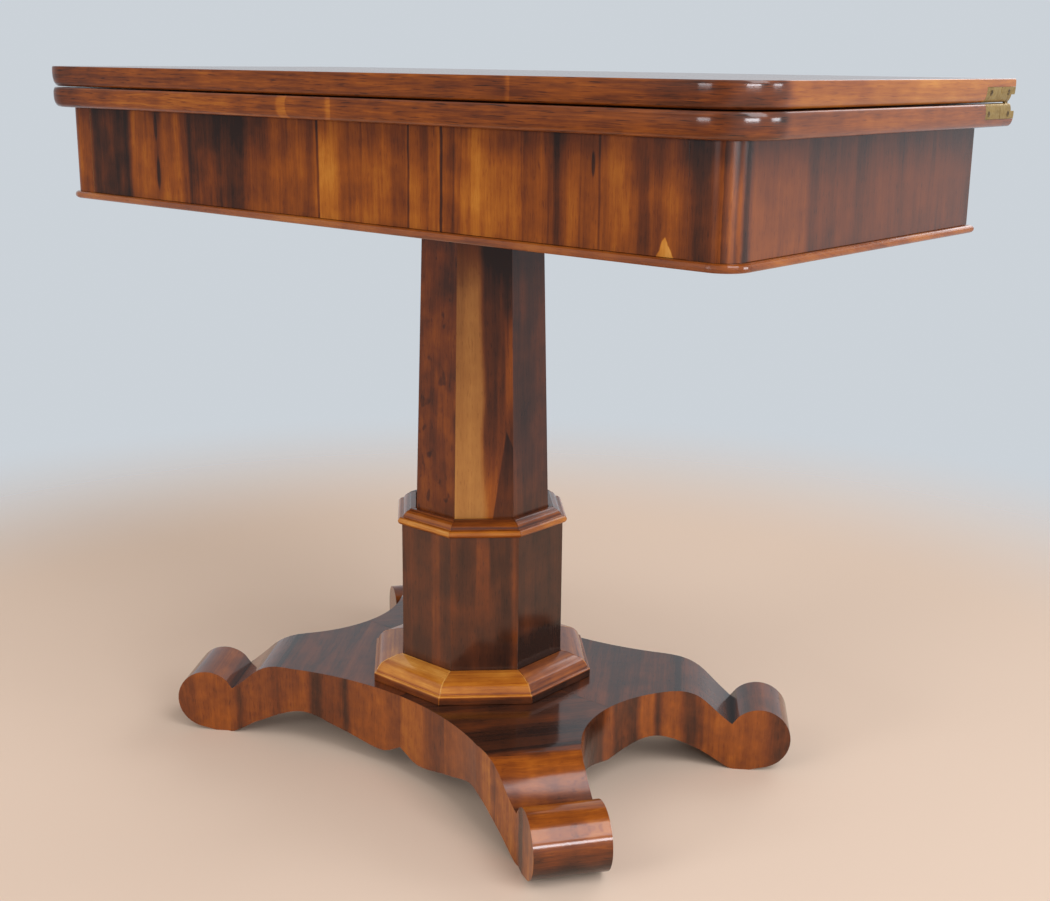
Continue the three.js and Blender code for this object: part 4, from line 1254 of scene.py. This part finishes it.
def add_screws(leaf, side):
    """Sets the screws of a hinge plate on its surface."""
    sign = 1 if side == "right" else -1
    tree = surface_of(f"{leaf}_hinge_plate_{side}")
    for index, (y, rise, turn) in enumerate(PLATE_SCREWS[leaf], 1):
        start = Vector((sign * OUTSIDE, y, FACE_HEIGHT[leaf] + rise))
        hit, normal, _, _ = tree.ray_cast(start, Vector((-sign, 0, 0)))
        name = f"{leaf}_hinge_screw_{side}_{index}"
        piece = new_piece(name, screw_mesh(name, turn), SCREW_BRASS, f"{leaf}_leaf")
        tilt = normal.to_track_quat("Z", "Y").to_matrix().to_4x4()
        piece.matrix_world = Matrix.Translation(hit) @ tilt


for leaf_name in PLATE_SCREWS:
    for side_name in SIDES:
        add_screws(leaf_name, side_name)


# Baize linings

BAIZE_CORNER = 0.0117
CORNER_STEPS = 8
CUT_EDGE = 0.0004
CLOTH = baize_cloth()


def lining_mesh(name, low, high):
    """Sheet of baize with rounded front corners."""
    mesh = bpy.data.meshes.new(name)
    shape = bmesh.new()
    outline = [(high.x, high.y), (-high.x, high.y)]
    corner_x = high.x - BAIZE_CORNER
    corner_y = low.y + BAIZE_CORNER
    for centre, first_angle in ((-corner_x, math.pi), (corner_x, 1.5 * math.pi)):
        for step in range(CORNER_STEPS + 1):
            angle = first_angle + step / CORNER_STEPS * math.pi / 2
            reach_x = BAIZE_CORNER * math.cos(angle)
            reach_y = BAIZE_CORNER * math.sin(angle)
            outline.append((centre + reach_x, corner_y + reach_y))
    below = [shape.verts.new((x, y, low.z)) for x, y in outline]
    above = [shape.verts.new((x, y, high.z)) for x, y in outline]
    shape.faces.new(list(reversed(below)))
    shape.faces.new(above)
    for step in range(len(outline)):
        after = (step + 1) % len(outline)
        shape.faces.new((below[step], below[after], above[after], above[step]))
    shape.to_mesh(mesh)
    shape.free()
    return mesh


def add_lining(leaf):
    """Lining of a leaf's playing face, with a soft cut edge."""
    low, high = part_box(f"{leaf}_baize")
    name = f"{leaf}_baize_lining"
    piece = new_piece(name, lining_mesh(name, low, high), CLOTH, f"{leaf}_leaf")
    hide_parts(f"{leaf}_baize")
    bevel = piece.modifiers.new("cut_edge", "BEVEL")
    bevel.width = CUT_EDGE
    bevel.segments = 3


for leaf_name in ("lower", "upper"):
    add_lining(leaf_name)


# Floor, background and light

FLOOR_SIZE = 4
FLOOR_COLOUR = (0.70, 0.530, 0.412)
# Distances from the table between which the floor fades into the background
FLOOR_FADE = (0.8, 1.6)
BACKGROUND = (0.60, 0.645, 0.69)
# Colours of the light that comes from the parts of the room
DARK_ROOM = (0.05, 0.04, 0.033)
WALL = (0.95, 0.99, 1.03)
HIGH_WALL = (0.60, 0.61, 0.63)
RIGHT_WALL = (1.10, 1.16, 1.22)
CEILING = (0.55, 0.55, 0.55)
CARPET = (0.38, 0.30, 0.24)
# Direction to the wall behind the table, along X and Y
WALL_DIRECTION = (0.50, 0.86)
# How much a direction goes to that wall, where the wall starts and where it is full
LOW_WALL_WIDTH = (0.78, 0.94)
WALL_WIDTH = (-0.30, 0.25)
# How much a direction rises where the next part of the room starts and where it is full
LOW_WALL_TOP = (-0.065, 0.010)
HIGH_WALL_START = (0.06, 0.22)
CEILING_START = (0.30, 0.75)
# How much it goes down to the carpet, and to the right to the wall there
CARPET_START = (0.14, 0.22)
RIGHT_WALL_START = (0.15, 0.50)


def make_floor():
    """Plain pale floor that fades into the background round the table."""
    mesh = bpy.data.meshes.new("floor")
    shape = bmesh.new()
    bmesh.ops.create_grid(shape, x_segments=8, y_segments=8, size=FLOOR_SIZE)
    shape.to_mesh(mesh)
    shape.free()
    floor = bpy.data.objects.new("floor", mesh)
    scene.collection.objects.link(floor)
    shader = new_shader("floor")
    x, y, _ = shader.place()
    away = shader.math("SQRT", x * x + y * y)
    colour = {"Color": (*FLOOR_COLOUR, 1), "Roughness": 0.0}
    carpet = shader.add("ShaderNodeBsdfDiffuse", colour)
    clear = shader.add("ShaderNodeBsdfTransparent")
    shader.output(shader.mix_shader(away.ramp(*FLOOR_FADE), carpet, clear))
    floor.data.materials.append(shader.owner)


def make_world():
    """Plain background, and light from a pale room that is brighter behind the table."""
    world = bpy.data.worlds.new("room")
    scene.world = world
    shader = Shader(world)
    coordinates = shader.add("ShaderNodeTexCoord")
    dx, dy, dz = shader.parts(coordinates.outputs["Generated"])
    wall_x, wall_y = WALL_DIRECTION
    towards_wall = dy * wall_y + dx * wall_x
    low_wall = towards_wall.ramp(*LOW_WALL_WIDTH)
    wall = shader.choose(dz.ramp(*LOW_WALL_TOP), low_wall, towards_wall.ramp(*WALL_WIDTH))
    bright = shader.mix_colour(dz.ramp(*HIGH_WALL_START), (*WALL, 1), (*HIGH_WALL, 1))
    bright = shader.mix_colour(dx.ramp(*RIGHT_WALL_START), bright, (*RIGHT_WALL, 1))
    room = shader.mix_colour(wall, (*DARK_ROOM, 1), bright)
    room = shader.mix_colour(dz.ramp(*CEILING_START), room, (*CEILING, 1))
    room = shader.mix_colour((dz * -1.0).ramp(*CARPET_START), room, (*CARPET, 1))
    light = shader.add("ShaderNodeBackground", {"Color": room, "Strength": 1.0})
    plain = {"Color": (*BACKGROUND, 1), "Strength": 1.0}
    background = shader.add("ShaderNodeBackground", plain)
    path = shader.add("ShaderNodeLightPath")
    seen = Value(shader, path.outputs["Is Camera Ray"])
    for kind in ("Is Glossy Ray", "Is Transmission Ray"):
        seen = seen.most(Value(shader, path.outputs[kind]))
    shader.output(shader.mix_shader(seen, light, background))


# Soft panels of light: name, place, width, height, radiance and colour
DAYLIGHT = (0.89, 0.94, 1.0)
WARM_LIGHT = (1.0, 0.97, 0.93)
PANELS = [
    ("window_front", (-0.67, -3.50, 0.97), 1.5, 0.56, 20.0, DAYLIGHT),
    ("window_right", (3.60, -1.48, 0.99), 1.5, 0.46, 19.0, DAYLIGHT),
    ("window_back", (3.65, 1.27, 0.99), 1.1, 0.46, 13.0, DAYLIGHT),
    ("sky_panel", (2.58, -0.50, 2.58), 1.65, 2.6, 4.8, DAYLIGHT),
    ("front_panel", (-1.00, -3.30, 3.00), 2.6, 1.7, 1.7, WARM_LIGHT),
    ("back_panel", (0.20, 3.30, 2.30), 2.4, 1.4, 3.2, DAYLIGHT),
]
PANELS_FACE = Vector((0.1, 0.0, 0.45))


def add_panel(name, place, width, height, radiance, colour):
    """Soft panel of light that faces the table."""
    light = bpy.data.lights.new(name, "AREA")
    light.shape = "RECTANGLE"
    light.size = width
    light.size_y = height
    light.energy = radiance * math.pi * width * height
    light.color = colour
    lamp = bpy.data.objects.new(name, light)
    scene.collection.objects.link(lamp)
    lamp.location = place
    outward = Vector(place) - PANELS_FACE
    lamp.rotation_euler = outward.to_track_quat("Z", "Y").to_euler()


make_floor()
make_world()
for panel in PANELS:
    add_panel(*panel)

scene.view_settings.view_transform = "Standard"
